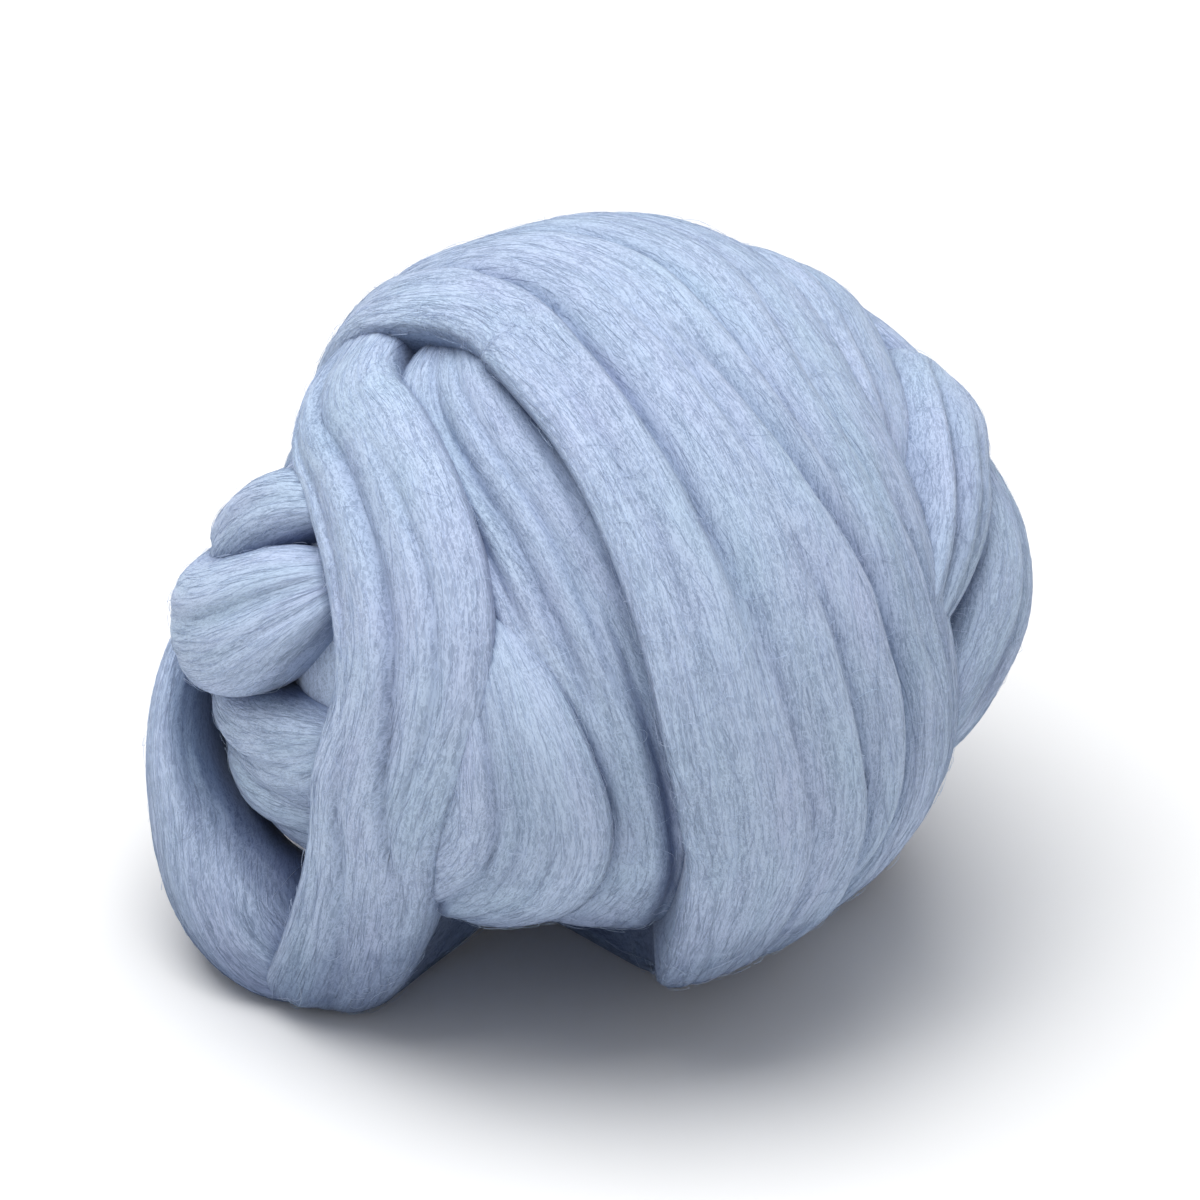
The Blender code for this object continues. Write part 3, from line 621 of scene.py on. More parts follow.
def skin_wrap(course, run, lean, under):
    """Points of a wrap at distances along it.  lean runs from -1 at its left edge to 1 at its right."""
    wrap = course.piece
    place = place_at(course, run)
    middle = unit(on_table(course.middles, course.closed, place))
    ahead = on_table(course.middles, course.closed, place + WRAP_HEADING_STEP)
    ahead = ahead - on_table(course.middles, course.closed, place - WRAP_HEADING_STEP)
    across_way = unit(np.cross(middle, ahead))
    width, top, slant, body = np.moveaxis(on_table(course.sizes, course.closed, place), -1, 0)
    body = body * EDGE_SOFTNESS
    scale = end_scale(course, run)
    reach = np.clip(np.abs(lean), 0.0, 1.0)
    round_off = (1.0 - reach ** wrap.fullness) ** (1.0 / wrap.fullness)
    edge = top - 0.5 * body - slant * lean
    fall = crease_depth(wrap, place, 0.5 * (lean + 1.0), width)[0] * round_off
    locks = lock_relief(course.map_start, run, lean * half_width(course)) * scale
    locks = locks * (LOCKS_AT_EDGE + LOCKS_ON_FACE * round_off)
    face = edge + 0.5 * body * round_off * scale - fall + locks
    back = edge - (edge + BURIED) * round_off + locks
    angle = lean * 0.5 * width * scale / (core_radius(middle) + top)
    direction = middle * np.cos(angle)[..., None] + across_way * np.sin(angle)[..., None]
    return direction * (core_radius(direction) + np.where(under, back, face))[..., None]


def skin_roll(course, run, lean, under):
    """Points of a roll at distances along it.  lean is 0 on its outer side and 1 or -1 on its inner."""
    last = len(course.middles) - 1.0
    place = place_at(course, run)
    centre = on_table(course.middles, False, place)
    ahead = on_table(course.middles, False, np.clip(place + ROLL_HEADING_STEP, 0.0, last))
    behind = on_table(course.middles, False, np.clip(place - ROLL_HEADING_STEP, 0.0, last))
    ahead = unit(ahead - behind)
    across_way = unit(np.cross(ahead, unit(centre)))
    outward = np.cross(across_way, ahead)
    breadth, thickness, twist = np.moveaxis(on_table(course.sizes, False, place), -1, 0)
    scale = end_scale(course, run)
    girth = math.pi * 0.5 * course.sizes[:, :2].mean()
    locks = lock_relief(course.map_start, run, (lean - twist / HALF_TURN) * girth)
    wide = (0.5 * breadth + locks) * scale * np.sin(math.pi * lean)
    thick = (0.5 * thickness + locks) * scale * np.cos(math.pi * lean)
    return centre + across_way * wide[..., None] + outward * thick[..., None]


def skin(course, run, lean, under):
    """Points, in layout millimetres, on the outside of a stretch of roving."""
    if course.closed:
        run = run % course.walked[-1]
    else:
        run = np.clip(run, 0.0, course.walked[-1])
    shape = skin_wrap if isinstance(course.piece, Wrap) else skin_roll
    return shape(course, run, lean, under)


def way_out(course, run, lean, under):
    """The direction out of the skin, in the layout frame, short of a wrap's very edges."""
    lean_step = NORMAL_STEP / half_width(course)
    low, high = np.clip(lean - lean_step, -1.0, 1.0), np.clip(lean + lean_step, -1.0, 1.0)
    along = skin(course, run + NORMAL_STEP, lean, under) - skin(course, run - NORMAL_STEP, lean, under)
    across = skin(course, run, high, under) - skin(course, run, low, under)
    side = -1.0 if isinstance(course.piece, Roll) else np.where(under, -1.0, 1.0)[..., None]
    return unit(np.cross(along, across)) * side


def crease_shade(course, run, lean, under):
    """The painted crease shade there, from 0 on the wool's open face to 1 deep in a crease."""
    if isinstance(course.piece, Roll):
        return np.zeros_like(run)
    place = place_at(course, run % course.walked[-1] if course.closed else run)
    width = on_table(course.sizes, course.closed, place)[..., 0]
    painted_shade = crease_depth(course.piece, place, 0.5 * (lean + 1.0), width)[1] / FULLY_SHADED
    return np.clip(np.where(under, 0.0, painted_shade), 0.0, 1.0)


def half_width(course):
    """Half the usual width of a wrap or breadth of a roll, in millimetres."""
    return 0.5 * course.sizes[:, 0].mean()


def widest_round(course):
    """How far a wrap measures across where it is widest, or a roll measures round, in millimetres."""
    if isinstance(course.piece, Roll):
        return math.pi * course.sizes[:, :2].mean()
    return course.sizes[:, 0].max()


def strand_lean(course, run, strand):
    """Where across a stretch of roving a strand lies: a roll's strands turn round it as it runs."""
    if isinstance(course.piece, Wrap):
        return strand
    place = place_at(course, run)
    return strand + on_table(course.sizes, False, place)[..., 2] / HALF_TURN


def lay_all_courses():
    """Every wrap and roll, measured, in the order in which they are numbered."""
    return [lay_course(piece, number) for number, piece in enumerate(WRAPS + ROLLS)]


# ---------------------------------------------------------------- meshes

def round_leans(course):
    """The leans across a stretch of roving, its face first and then its underside, as a closed round."""
    over = max(int(round(widest_round(course) / FACE_BREADTH)), LEAST_FACES)
    even = np.linspace(-1.0, 1.0, over + 1)
    if isinstance(course.piece, Roll):
        return even, np.zeros(over + 1, dtype=bool)
    face = 0.5 * even + 0.5 * np.sin(0.5 * math.pi * even)
    back = np.sin(0.5 * math.pi * np.linspace(1.0, -1.0, UNDERSIDE_FACES + 1)[1:])
    return np.concatenate([face, back]), np.arange(over + 1 + UNDERSIDE_FACES) > over


def span_across(course, leans, under):
    """Distances round a section of the roving, in millimetres, for its fibre map."""
    middle = np.full(len(leans), 0.5 * course.walked[-1])
    steps = np.diff(skin(course, middle, leans, under), axis=0)
    return np.concatenate([[0.0], np.cumsum(np.linalg.norm(steps, axis=1))])


def loft(course):
    """A closed skin over a stretch of roving: a grid rolled up round its length, and its seams merged."""
    leans, under = round_leans(course)
    spans = span_across(course, leans, under)
    around = len(leans) - 1
    length = course.walked[-1]
    stations = max(int(round(length / FACE_LENGTH)), LEAST_FACES)
    mesh = bmesh.new()
    bmesh.ops.create_grid(mesh, x_segments=stations, y_segments=around, size=0.5)
    corners = np.array([vertex.co[:2] for vertex in mesh.verts]) + 0.5
    station = np.rint(corners[:, 0] * stations)
    step = np.rint(corners[:, 1] * around).astype(int)
    run = station * length / stations
    places = place_in_world(skin(course, run, leans[step], under[step]))
    turned = (strand_lean(course, run, leans[step]) - leans[step]) * 0.5 * spans[-1]
    across = course.map_start + spans[step] - turned
    bakes = np.stack([step / around, station / stations], axis=-1)
    paint_maps(mesh, np.stack([across, run], axis=-1), bakes)
    # Painted shade: each corner keeps how deep in a crease trough it lies, which darkens its colour.
    painted_shade = mesh.verts.layers.float.new(SHADE_LAYER)
    crease_shades = crease_shade(course, run, leans[step], under[step])
    for vertex, place, depth in zip(mesh.verts, places, crease_shades):
        vertex.co = place
        vertex[painted_shade] = depth
    bmesh.ops.remove_doubles(mesh, verts=mesh.verts, dist=MERGE)
    bmesh.ops.recalc_face_normals(mesh, faces=mesh.faces)
    name = course.piece.name
    dress(name, mesh_data(name, mesh), wool_face_material())


def paint_maps(mesh, runs, bakes):
    """Gives the mesh its fibre map, in millimetres across and along the wool, and its map for bakes."""
    mesh.verts.index_update()
    run_layer = mesh.loops.layers.uv.new(FIBRE_MAP)
    bake_layer = mesh.loops.layers.uv.new(BAKE_MAP)
    for face in mesh.faces:
        for corner in face.loops:
            corner[run_layer].uv = runs[corner.vert.index]
            corner[bake_layer].uv = bakes[corner.vert.index]


def mesh_data(name, mesh):
    """Closes a bmesh into named mesh data."""
    data = bpy.data.meshes.new(name)
    mesh.to_mesh(data)
    mesh.free()
    return data


def place_object(name, data):
    """Puts a new object with this data into the scene."""
    thing = bpy.data.objects.new(name, data)
    bpy.context.scene.collection.objects.link(thing)
    return thing


def dress(name, data, material):
    """Makes the mesh a shown piece of the ball that stands for its solid."""
    data.materials.append(material)
    data.shade_smooth()
    piece = place_object(name, data)
    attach(piece, BODY)
    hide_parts(NODE)


def paint_gap_shade(tree, data):
    """Deepens the painted shade in a mesh's colour where its wool lies in a gap between wraps."""
    count = len(data.vertices)
    places, ways, painted_shade = np.empty(3 * count), np.empty(3 * count), np.empty(count)
    data.vertices.foreach_get("co", places)
    data.vertex_normals.foreach_get("vector", ways)
    data.attributes[SHADE_LAYER].data.foreach_get("value", painted_shade)
    depth = painted_gap_shade(tree, places.reshape(-1, 3), ways.reshape(-1, 3))
    data.attributes[SHADE_LAYER].data.foreach_set("value", np.maximum(painted_shade, depth).astype(np.float32))


def make_core():
    """The wool inside, which shows only where the wraps part."""
    mesh = bmesh.new()
    bmesh.ops.create_icosphere(mesh, subdivisions=CORE_DETAIL, radius=1.0)
    way = unit(np.array([vertex.co[:] for vertex in mesh.verts]))
    side = np.arcsin(np.clip(way[:, 0], -1.0, 1.0)) * CORE_SIDE
    turn = np.arctan2(way[:, 2], -way[:, 1]) * CORE_DEPTH
    map_start = MAP_APART * (len(WRAPS) + len(ROLLS))
    relief = lock_relief(map_start, turn, side)
    points = place_in_world(way * (core_radius(way) + relief)[:, None])
    runs = np.stack([side + map_start, turn], axis=-1)
    bakes = np.stack([side / (math.pi * CORE_SIDE), turn / (2.0 * math.pi * CORE_DEPTH)], axis=-1) + 0.5
    paint_maps(mesh, runs, bakes)
    for vertex, place in zip(mesh.verts, points):
        vertex.co = place
    dress("core_wool", mesh_data("core_wool", mesh), wool_face_material())


# ---------------------------------------------------------------- fibres

def shown_surface():
    """The wraps and rolls that are laid, as one tree that rays can be cast against."""
    places, faces = [], []
    for piece in WRAPS + ROLLS:
        thing = bpy.data.objects.get(piece.name)
        if thing is None:
            raise RuntimeError("lay the wraps and rolls first")
        first = len(places)
        places.extend(vertex.co[:] for vertex in thing.data.vertices)
        faces.extend([first + corner for corner in face.vertices] for face in thing.data.polygons)
    return BVHTree.FromPolygons(places, faces)


def in_the_open(tree, points, outward):
    """Which points see out of the ball: nothing lies over them, and they are above the surface."""
    seen = np.zeros(len(points), dtype=bool)
    for number, (point, way) in enumerate(zip(points, outward)):
        start = Vector(point + way * OPEN_CLEARANCE)
        hit = tree.ray_cast(start, Vector(way), OPEN_REACH)
        seen[number] = hit[0] is None and point[2] > OPEN_CLEARANCE
    return seen


def feelers_round(ways):
    """Evenly spread directions over the half of space that each way out faces."""
    number = np.arange(FEELERS) + 0.5
    rise = np.sqrt(1.0 - number / FEELERS)
    spin = number * GOLDEN_TURN
    flat = np.sqrt(1.0 - rise ** 2)
    aside = unit(np.cross(ways, FEELER_AXIS))
    beyond = np.cross(ways, aside)
    return (ways[:, None] * rise[:, None] + aside[:, None] * (flat * np.cos(spin))[:, None]
            + beyond[:, None] * (flat * np.sin(spin))[:, None])


def is_stopped(tree, start, way):
    """Whether a feeler that goes out from a place meets the floor or the wool."""
    meets_floor = way[2] * FEELER_REACH < -start[2]
    return meets_floor or tree.ray_cast(Vector(start), Vector(way), FEELER_REACH)[0] is not None


def painted_gap_shade(tree, points, ways):
    """The painted shade for each world point by how deep in a gap it lies, from 0 in the open to 1, by
    feelers sent out from it.
    """
    depth = np.zeros(len(points))
    starts = points + ways * FEELER_START
    for number, (start, feelers) in enumerate(zip(starts, feelers_round(ways))):
        depth[number] = sum(is_stopped(tree, start, way) for way in feelers) / FEELERS
    return np.clip((depth - OPEN_SHARE) / (1.0 - OPEN_SHARE) * GAP_SHADE, 0.0, 1.0)


def fibre_faces(rings):
    """The triangles of one fibre: a point, its rings of three and a point."""
    around = np.arange(FIBRE_SIDES)
    beside = (around + 1) % FIBRE_SIDES
    last = 1 + rings * FIBRE_SIDES
    faces = [(0, 1 + b, 1 + a) for a, b in zip(around, beside)]
    for ring in range(rings - 1):
        low, high = 1 + ring * FIBRE_SIDES, 1 + (ring + 1) * FIBRE_SIDES
        for a, b in zip(around, beside):
            faces += [(low + a, low + b, high + b), (low + a, high + b, high + a)]
    low = 1 + (rings - 1) * FIBRE_SIDES
    faces += [(last, low + a, low + b) for a, b in zip(around, beside)]
    return np.array(faces)


def points_along(count):
    """The places of a fibre's points along it, from -1 to 1, as one row."""
    return np.linspace(-1.0, 1.0, count)[None, :]


def ring_fibres(points, outward, radius):
    """The corners of fibres that follow their points and taper to both their ends."""
    count, along = points.shape[:2]
    tangent = unit(np.gradient(points, axis=1))
    sideways = unit(np.cross(tangent, outward))
    upward = np.cross(sideways, tangent)
    taper = np.sin(np.linspace(0.0, math.pi, along))[1:-1] ** 0.5
    angles = 2.0 * math.pi * np.arange(FIBRE_SIDES) / FIBRE_SIDES
    reach = radius[:, None, None, None] * taper[None, :, None, None]
    spokes = (sideways[:, 1:-1, None] * np.cos(angles)[:, None]
              + upward[:, 1:-1, None] * np.sin(angles)[:, None])
    rings = (points[:, 1:-1, None] + spokes * reach).reshape(count, (along - 2) * FIBRE_SIDES, 3)
    places = np.concatenate([points[:, :1], rings, points[:, -1:]], axis=1)
    places[..., 2] = np.maximum(places[..., 2], 0.0)
    return places


def fibre_map(shade, rings):
    """A map for the corners of fibres: a fibre's shade across, and the place along the fibre."""
    ring_share = np.repeat(np.arange(1, rings + 1), FIBRE_SIDES) / (rings + 1)
    share = np.concatenate([[0.0], ring_share, [1.0]])
    beside = np.concatenate([[0.5], np.tile(np.arange(FIBRE_SIDES) / FIBRE_SIDES, rings), [0.5]])
    map_u = shade[:, None] + (beside * SHADE_WIDTH)[None, :]
    map_v = np.broadcast_to(share[None, :], map_u.shape)
    return np.stack([map_u.ravel(), map_v.ravel()], axis=-1)


def spin_fibres(name, points, outward, radius, shade, painted_shade):
    """Joins fibres into one mesh, each with its own radius, shade and painted shade."""
    rings = points.shape[1] - 2
    places = ring_fibres(points, outward, radius)
    count, per_fibre = places.shape[:2]
    corners = (fibre_faces(rings).ravel()[None, :] + per_fibre * np.arange(count)[:, None]).ravel()
    data = bpy.data.meshes.new(name)
    data.vertices.add(count * per_fibre)
    data.vertices.foreach_set("co", places.ravel())
    data.loops.add(len(corners))
    data.loops.foreach_set("vertex_index", corners)
    data.polygons.add(len(corners) // 3)
    data.polygons.foreach_set("loop_start", np.arange(0, len(corners), 3))
    data.update(calc_edges=True)
    data.uv_layers.new(name=BAKE_MAP)
    uv = fibre_map(shade, rings)[corners]
    data.uv_layers[BAKE_MAP].data.foreach_set("uv", uv.ravel().astype(np.float32))
    data.validate()
    data.attributes.new(SHADE_LAYER, "FLOAT", "POINT")
    data.attributes[SHADE_LAYER].data.foreach_set("value", np.repeat(painted_shade, per_fibre).astype(np.float32))
    dress(name, data, fibre_material())


def open_spots(course, tree, run, lean, under):
    """The spots on a stretch of roving that show, with nothing lying over them."""
    points = place_in_world(skin(course, run, lean, under))
    seen = in_the_open(tree, points, to_world(way_out(course, run, lean, under)))
    return run[seen], lean[seen], under[seen]


def raise_fibres(course, run, lean, under, lift):
    """World points of fibres that lie along the skin, lifted off it, and the way out of it at each."""
    outward = way_out(course, run, lean, under)
    points = skin(course, run, lean, under) + outward * lift[..., None]
    return place_in_world(points), to_world(outward)


def fibre_spots(course, count, random):
    """Random spots, spread evenly over a stretch of roving, for the middles of its fibres."""
    run = random.uniform(0.0, course.walked[-1], count)
    if isinstance(course.piece, Roll):
        return run, random.uniform(-1.0, 1.0, count), np.zeros(count, dtype=bool)
    lean = np.sin(0.5 * math.pi * random.uniform(-FIBRE_EDGE, FIBRE_EDGE, count))
    under = random.uniform(0.0, 1.0, count) < UNDERSIDE_SHARE
    place = place_at(course, run)
    width = on_table(course.sizes, course.closed, place)[:, 0]
    fits = random.uniform(0.0, 1.0, count) < width / widest_round(course)
    return run[fits], lean[fits], under[fits]


def run_fibres(course, run, lean, length, random):
    """Fibres through spots of a stretch: the distances along it and the leans of their points."""
    count = len(run)
    half = 0.5 * length / MM * random.uniform(*FIBRE_LENGTHS, count)
    t = points_along(FIBRE_POINTS)
    angle = random.normal(0.0, FIBRE_SCATTER, count)[:, None]
    wave = FIBRE_WAVE * random.normal(0.0, 1.0, count)[:, None]
    phase = random.uniform(-math.pi, math.pi, count)[:, None]
    waves = random.uniform(*FIBRE_WAVES, count)[:, None]
    along = run[:, None] + half[:, None] * t * np.cos(angle)
    drift = half[:, None] * t * np.sin(angle) + wave * np.sin(math.pi * t * waves + phase)
    strand = lean - (strand_lean(course, run, lean) - lean)
    leans = strand_lean(course, along, strand[:, None] + drift / (0.5 * widest_round(course)))
    if isinstance(course.piece, Wrap):
        leans = np.clip(leans, -1.0, 1.0)
    return along, leans


def comb_fibres(course, tree, settings, random):
    """Lays combed fibres along one stretch of roving, a little above it, their ends tucked in."""
    spots = int(course.walked[-1] * widest_round(course) * settings.density / SQUARE_CM)
    run, lean, under = open_spots(course, tree, *fibre_spots(course, spots, random))
    count = len(run)
    if count == 0:
        return
    along, leans = run_fibres(course, run, lean, settings.length, random)
    high = FIBRE_LIFT * (FIBRE_LEAST_LIFT + np.abs(random.normal(0.0, 1.0, count)))
    lift = high[:, None] * (1.0 - FIBRE_TUCK * points_along(FIBRE_POINTS) ** 2)
    wide_under = np.broadcast_to(under[:, None], along.shape)
    points, outward = raise_fibres(course, along, leans, wide_under, lift)
    radius = 0.5 * settings.thickness * random.uniform(*FIBRE_THICKNESSES, count)
    shade = random.uniform(0.0, 1.0 - SHADE_WIDTH, count)
    middle = FIBRE_POINTS // 2
    # Painted shade: each fibre darkens with the crease or gap it lies in.
    gap_shade_here = painted_gap_shade(tree, points[:, middle], outward[:, middle])
    painted_shade = np.maximum(crease_shade(course, run, lean, under), gap_shade_here)
    spin_fibres(course.piece.name + "_fibres", points, outward, radius, shade, painted_shade)


def stray_hairs(course, tree, count, random):
    """The points of loose hairs over one stretch of roving, and the way out of the wool at each."""
    run = random.uniform(0.0, course.walked[-1], count)
    lean = random.uniform(-1.0, 1.0, count)
    at_edge = random.uniform(0.0, 1.0, count) < EDGE_HAIRS
    lean = np.where(at_edge, np.sign(lean) * (EDGE_START + EDGE_BREADTH * np.abs(lean)), lean)
    run, lean, _ = open_spots(course, tree, run, lean, np.zeros(count, dtype=bool))
    count = len(run)
    heading = random.uniform(-math.pi, math.pi, count)[:, None]
    bend = random.normal(0.0, HAIR_BEND, count)[:, None]
    t = points_along(HAIR_POINTS)
    step = random.uniform(*HAIR_LENGTHS, count)[:, None] / (HAIR_POINTS - 1)
    way = heading + bend * t
    along = run[:, None] + np.cumsum(np.cos(way) * step, axis=1)
    drift = np.cumsum(np.sin(way) * step, axis=1) / half_width(course)
    leans = np.clip(lean[:, None] + drift, -1.0, 1.0)
    lift = random.uniform(*HAIR_HEIGHTS, count)[:, None] * (1.0 - t ** 2) ** 0.5
    return raise_fibres(course, along, leans, np.zeros_like(along, dtype=bool), lift)


def scatter_hairs(courses, tree, settings, random):
    """Loose hairs that have worked out of the wool and lie over it in any direction."""
    areas = np.array([course.walked[-1] * course.sizes[:, 0].mean() for course in courses])
    shares = np.rint(areas / areas.sum() * settings.loose).astype(int)
    hairs = [stray_hairs(course, tree, count, random) for course, count in zip(courses, shares)]
    points, outward = (np.concatenate(parts) for parts in zip(*hairs))
    count = len(points)
    radius = 0.5 * settings.thickness * random.uniform(*HAIR_THICKNESSES, count)
    shade = random.uniform(HAIR_SHADE_LOW, 1.0 - SHADE_WIDTH, count)
    spin_fibres("loose_hairs", points, outward, radius, shade, np.zeros(count))


# ---------------------------------------------------------------- materials

def add_node(tree, kind, **values):
    """A node with its settings."""
    node = tree.nodes.new(kind)
    for name, value in values.items():
        setattr(node, name, value)
    return node


def feed(tree, node, inputs):
    """Sets or links a node's inputs, by name or number."""
    for name, value in inputs.items():
        socket = node.inputs[name]
        if isinstance(value, bpy.types.NodeSocket):
            tree.links.new(value, socket)
        else:
            socket.default_value = value
    return node


def calculate(tree, operation, *values):
    """What a Math node makes of the values."""
    node = add_node(tree, "ShaderNodeMath", operation=operation)
    return feed(tree, node, dict(enumerate(values))).outputs[0]


def blend_colours(tree, share, first, second, blend="MIX"):
    """The first colour blended by a share with the second."""
    node = add_node(tree, "ShaderNodeMix", data_type="RGBA", blend_type=blend)
    feed(tree, node, {MIX_SHARE: share, MIX_FIRST: first, MIX_SECOND: second})
    return node.outputs[MIX_RESULT]


def streak_noise(tree, across, along, streak):
    """Noise drawn out along the wool, from 0 to 1."""
    sideways = calculate(tree, "MULTIPLY_ADD", along, streak.lean, across)
    vector = add_node(tree, "ShaderNodeCombineXYZ")
    feed(tree, vector, {0: calculate(tree, "DIVIDE", sideways, streak.pitch),
                        1: calculate(tree, "DIVIDE", along, streak.stretch), 2: streak.seed})
    noise = add_node(tree, "ShaderNodeTexNoise", noise_dimensions="3D")
    feed(tree, noise, {"Vector": vector.outputs[0], "Scale": 1.0,
                       "Detail": STREAK_DETAIL, "Roughness": STREAK_ROUGHNESS})
    return noise.outputs["Fac"]


def stretch_range(tree, value, low, high):
    """The value stretched so that low becomes 0 and high becomes 1."""
    node = add_node(tree, "ShaderNodeMapRange")
    feed(tree, node, {"Value": value, "From Min": low, "From Max": high, "To Min": 0.0, "To Max": 1.0})
    return node.outputs["Result"]


def curl_lines(tree, across, along, curl):
    """Thin curly lines like stray hairs, where a noise crosses its middle value."""
    noise = streak_noise(tree, across, along, curl)
    gap = calculate(tree, "ABSOLUTE", calculate(tree, "SUBTRACT", noise, 0.5))
    return calculate(tree, "MULTIPLY", stretch_range(tree, gap, CURL_WIDTH, 0.0), curl.share)


def new_group(name, inputs, outputs):
    """A new node group, its sockets given as names and kinds: its tree, and what goes in and out."""
    tree = bpy.data.node_groups.new(name, "ShaderNodeTree")
    for way, sockets in (("INPUT", inputs), ("OUTPUT", outputs)):
        for socket, kind in sockets.items():
            tree.interface.new_socket(socket, in_out=way, socket_type="NodeSocket" + kind)
    return tree, tree.nodes.new("NodeGroupInput").outputs, tree.nodes.new("NodeGroupOutput").inputs


def tint_group():
    """The wool's colour at a shade from 0, deep, to 1, pale, with its faint green and violet drifts,
    darkened by painted shade in creases and gaps.
    """
    tree = bpy.data.node_groups.get("wool tint")
    if tree:
        return tree
    tree, given, made = new_group("wool tint", {
        "Shade": "Float", "Drift": "Float", "Deep": "Color", "Pale": "Color",
        "Cool": "Color", "Violet": "Color", "Painted shade": "Float", "Shade tint": "Color",
    }, {"Color": "Color"})
    base = blend_colours(tree, given["Shade"], given["Deep"], given["Pale"])
    drifting = blend_colours(tree, given["Drift"], given["Cool"], given["Violet"])
    tinted = blend_colours(tree, 1.0, base, drifting, "MULTIPLY")
    # Painted shade: the colour is multiplied towards the shade tint in creases and gaps.
    shaded = blend_colours(tree, given["Painted shade"], tinted, given["Shade tint"], "MULTIPLY")
    tree.links.new(shaded, made["Color"])
    return tree


def streak_group():
    """Combed fibres from a map in millimetres: a shade that varies fibre by fibre, and their height."""
    tree = bpy.data.node_groups.get("combed streaks")
    if tree:
        return tree
    tree, given, made = new_group(
        "combed streaks", {"Run": "Vector"}, {"Shade": "Float", "Drift": "Float", "Height": "Float"})
    split = feed(tree, add_node(tree, "ShaderNodeSeparateXYZ"), {0: given["Run"]})
    across, along = split.outputs[0], split.outputs[1]
    wander = calculate(tree, "SUBTRACT", streak_noise(tree, across, along, STREAK_WANDER), 0.5)
    across = calculate(tree, "MULTIPLY_ADD", wander, STREAK_WANDER.share, across)
    total = 0.0
    for streak in STREAKS:
        noise = streak_noise(tree, across, along, streak)
        total = calculate(tree, "MULTIPLY_ADD", noise, streak.share, total)
    curls = 0.0
    for curl in CURLS:
        curls = calculate(tree, "MAXIMUM", curl_lines(tree, across, along, curl), curls)
    drift = streak_noise(tree, across, along, HUE_DRIFT)
    shade = calculate(tree, "ADD", curls, stretch_range(tree, total, *STREAK_RANGE))
    tree.links.new(shade, made["Shade"])
    tree.links.new(stretch_range(tree, drift, *HUE_RANGE), made["Drift"])
    tree.links.new(calculate(tree, "MULTIPLY_ADD", curls, CURL_RISE, total), made["Height"])
    return tree


def place_group(tree, group):
    return add_node(tree, "ShaderNodeGroup", node_tree=group)


def new_material(name):
    """A new material, and its Principled shader."""
    material = bpy.data.materials.new(name)
    material.use_nodes = True
    return material, material.node_tree.nodes["Principled BSDF"]


def wool_shader(name):
    """A new material whose Principled shader has the wool's soft, dry finish."""
    material, shader = new_material(name)
    feed(material.node_tree, shader, {
        "Roughness": WOOL_ROUGHNESS, "Specular IOR Level": WOOL_SHINE, "Sheen Weight": WOOL_SHEEN,
        "Sheen Roughness": WOOL_SHEEN_ROUGHNESS, "Sheen Tint": WOOL_SHEEN_TINT,
    })
    return material, shader


def tint(tree, shade, drift):
    """The wool's colour, from its settings, at a shade and a drift of its hue, with the mesh's painted
    shade.
    """
    settings = bpy.context.scene.roving_colours
    node = place_group(tree, tint_group())
    # The painted shade of creases and gaps, kept on the mesh.
    painted_shade = add_node(tree, "ShaderNodeAttribute", attribute_name=SHADE_LAYER)
    feed(tree, node, {"Shade": shade, "Drift": drift, "Painted shade": painted_shade.outputs["Fac"],
                      "Deep": settings.deep[:], "Pale": settings.pale[:],
                      "Cool": COOL_DRIFT, "Violet": VIOLET_DRIFT, "Shade tint": PAINTED_SHADE_TINT})
    return node.outputs["Color"]


def wool_face_material():
    """Combed wool as a surface: streaks of single fibres along the run of the roving."""
    found = bpy.data.materials.get("combed_wool_face")
    if found:
        return found
    material, shader = wool_shader("combed_wool_face")
    tree = material.node_tree
    run = add_node(tree, "ShaderNodeUVMap", uv_map=FIBRE_MAP)
    streaks = feed(tree, place_group(tree, streak_group()), {"Run": run.outputs[0]})
    bump = feed(tree, add_node(tree, "ShaderNodeBump"), {
        "Height": streaks.outputs["Height"], "Strength": BUMP_STRENGTH, "Distance": BUMP_DEPTH})
    feed(tree, shader, {"Base Color": tint(tree, streaks.outputs["Shade"], streaks.outputs["Drift"]),
                        "Normal": bump.outputs[0]})
    return material


def fibre_material():
    """Single fibres: each has its own shade, which its map gives across."""
    found = bpy.data.materials.get("combed_wool_fibre")
    if found:
        return found
    material, shader = wool_shader("combed_wool_fibre")
    tree = material.node_tree
    own = add_node(tree, "ShaderNodeUVMap", uv_map=BAKE_MAP)
    split = feed(tree, add_node(tree, "ShaderNodeSeparateXYZ"), {0: own.outputs[0]})
    turns = calculate(tree, "MULTIPLY", split.outputs[0], FIBRE_HUE_TURNS)
    shade = calculate(tree, "MULTIPLY_ADD", split.outputs[0], FIBRE_SHADE_RANGE, FIBRE_SHADE_LOW)
    feed(tree, shader, {"Base Color": tint(tree, shade, calculate(tree, "FRACT", turns))})
    return material


def floor_material(colour):
    """A plain, matt floor."""
    material, shader = new_material("pale_floor")
    feed(material.node_tree, shader, {
        "Base Color": colour, "Roughness": FLOOR_ROUGHNESS, "Specular IOR Level": FLOOR_SHINE})
    return material


# ---------------------------------------------------------------- stage

def add_floor(colour):
    """A wide plain floor, a hair under the ball."""
    mesh = bmesh.new()
    bmesh.ops.create_grid(mesh, x_segments=1, y_segments=1, size=0.5 * FLOOR_SIZE)
    bmesh.ops.translate(mesh, verts=mesh.verts, vec=(0.0, 0.0, -FLOOR_GAP))
    data = mesh_data("floor", mesh)
    data.materials.append(floor_material(colour))
    floor = place_object("floor", data)


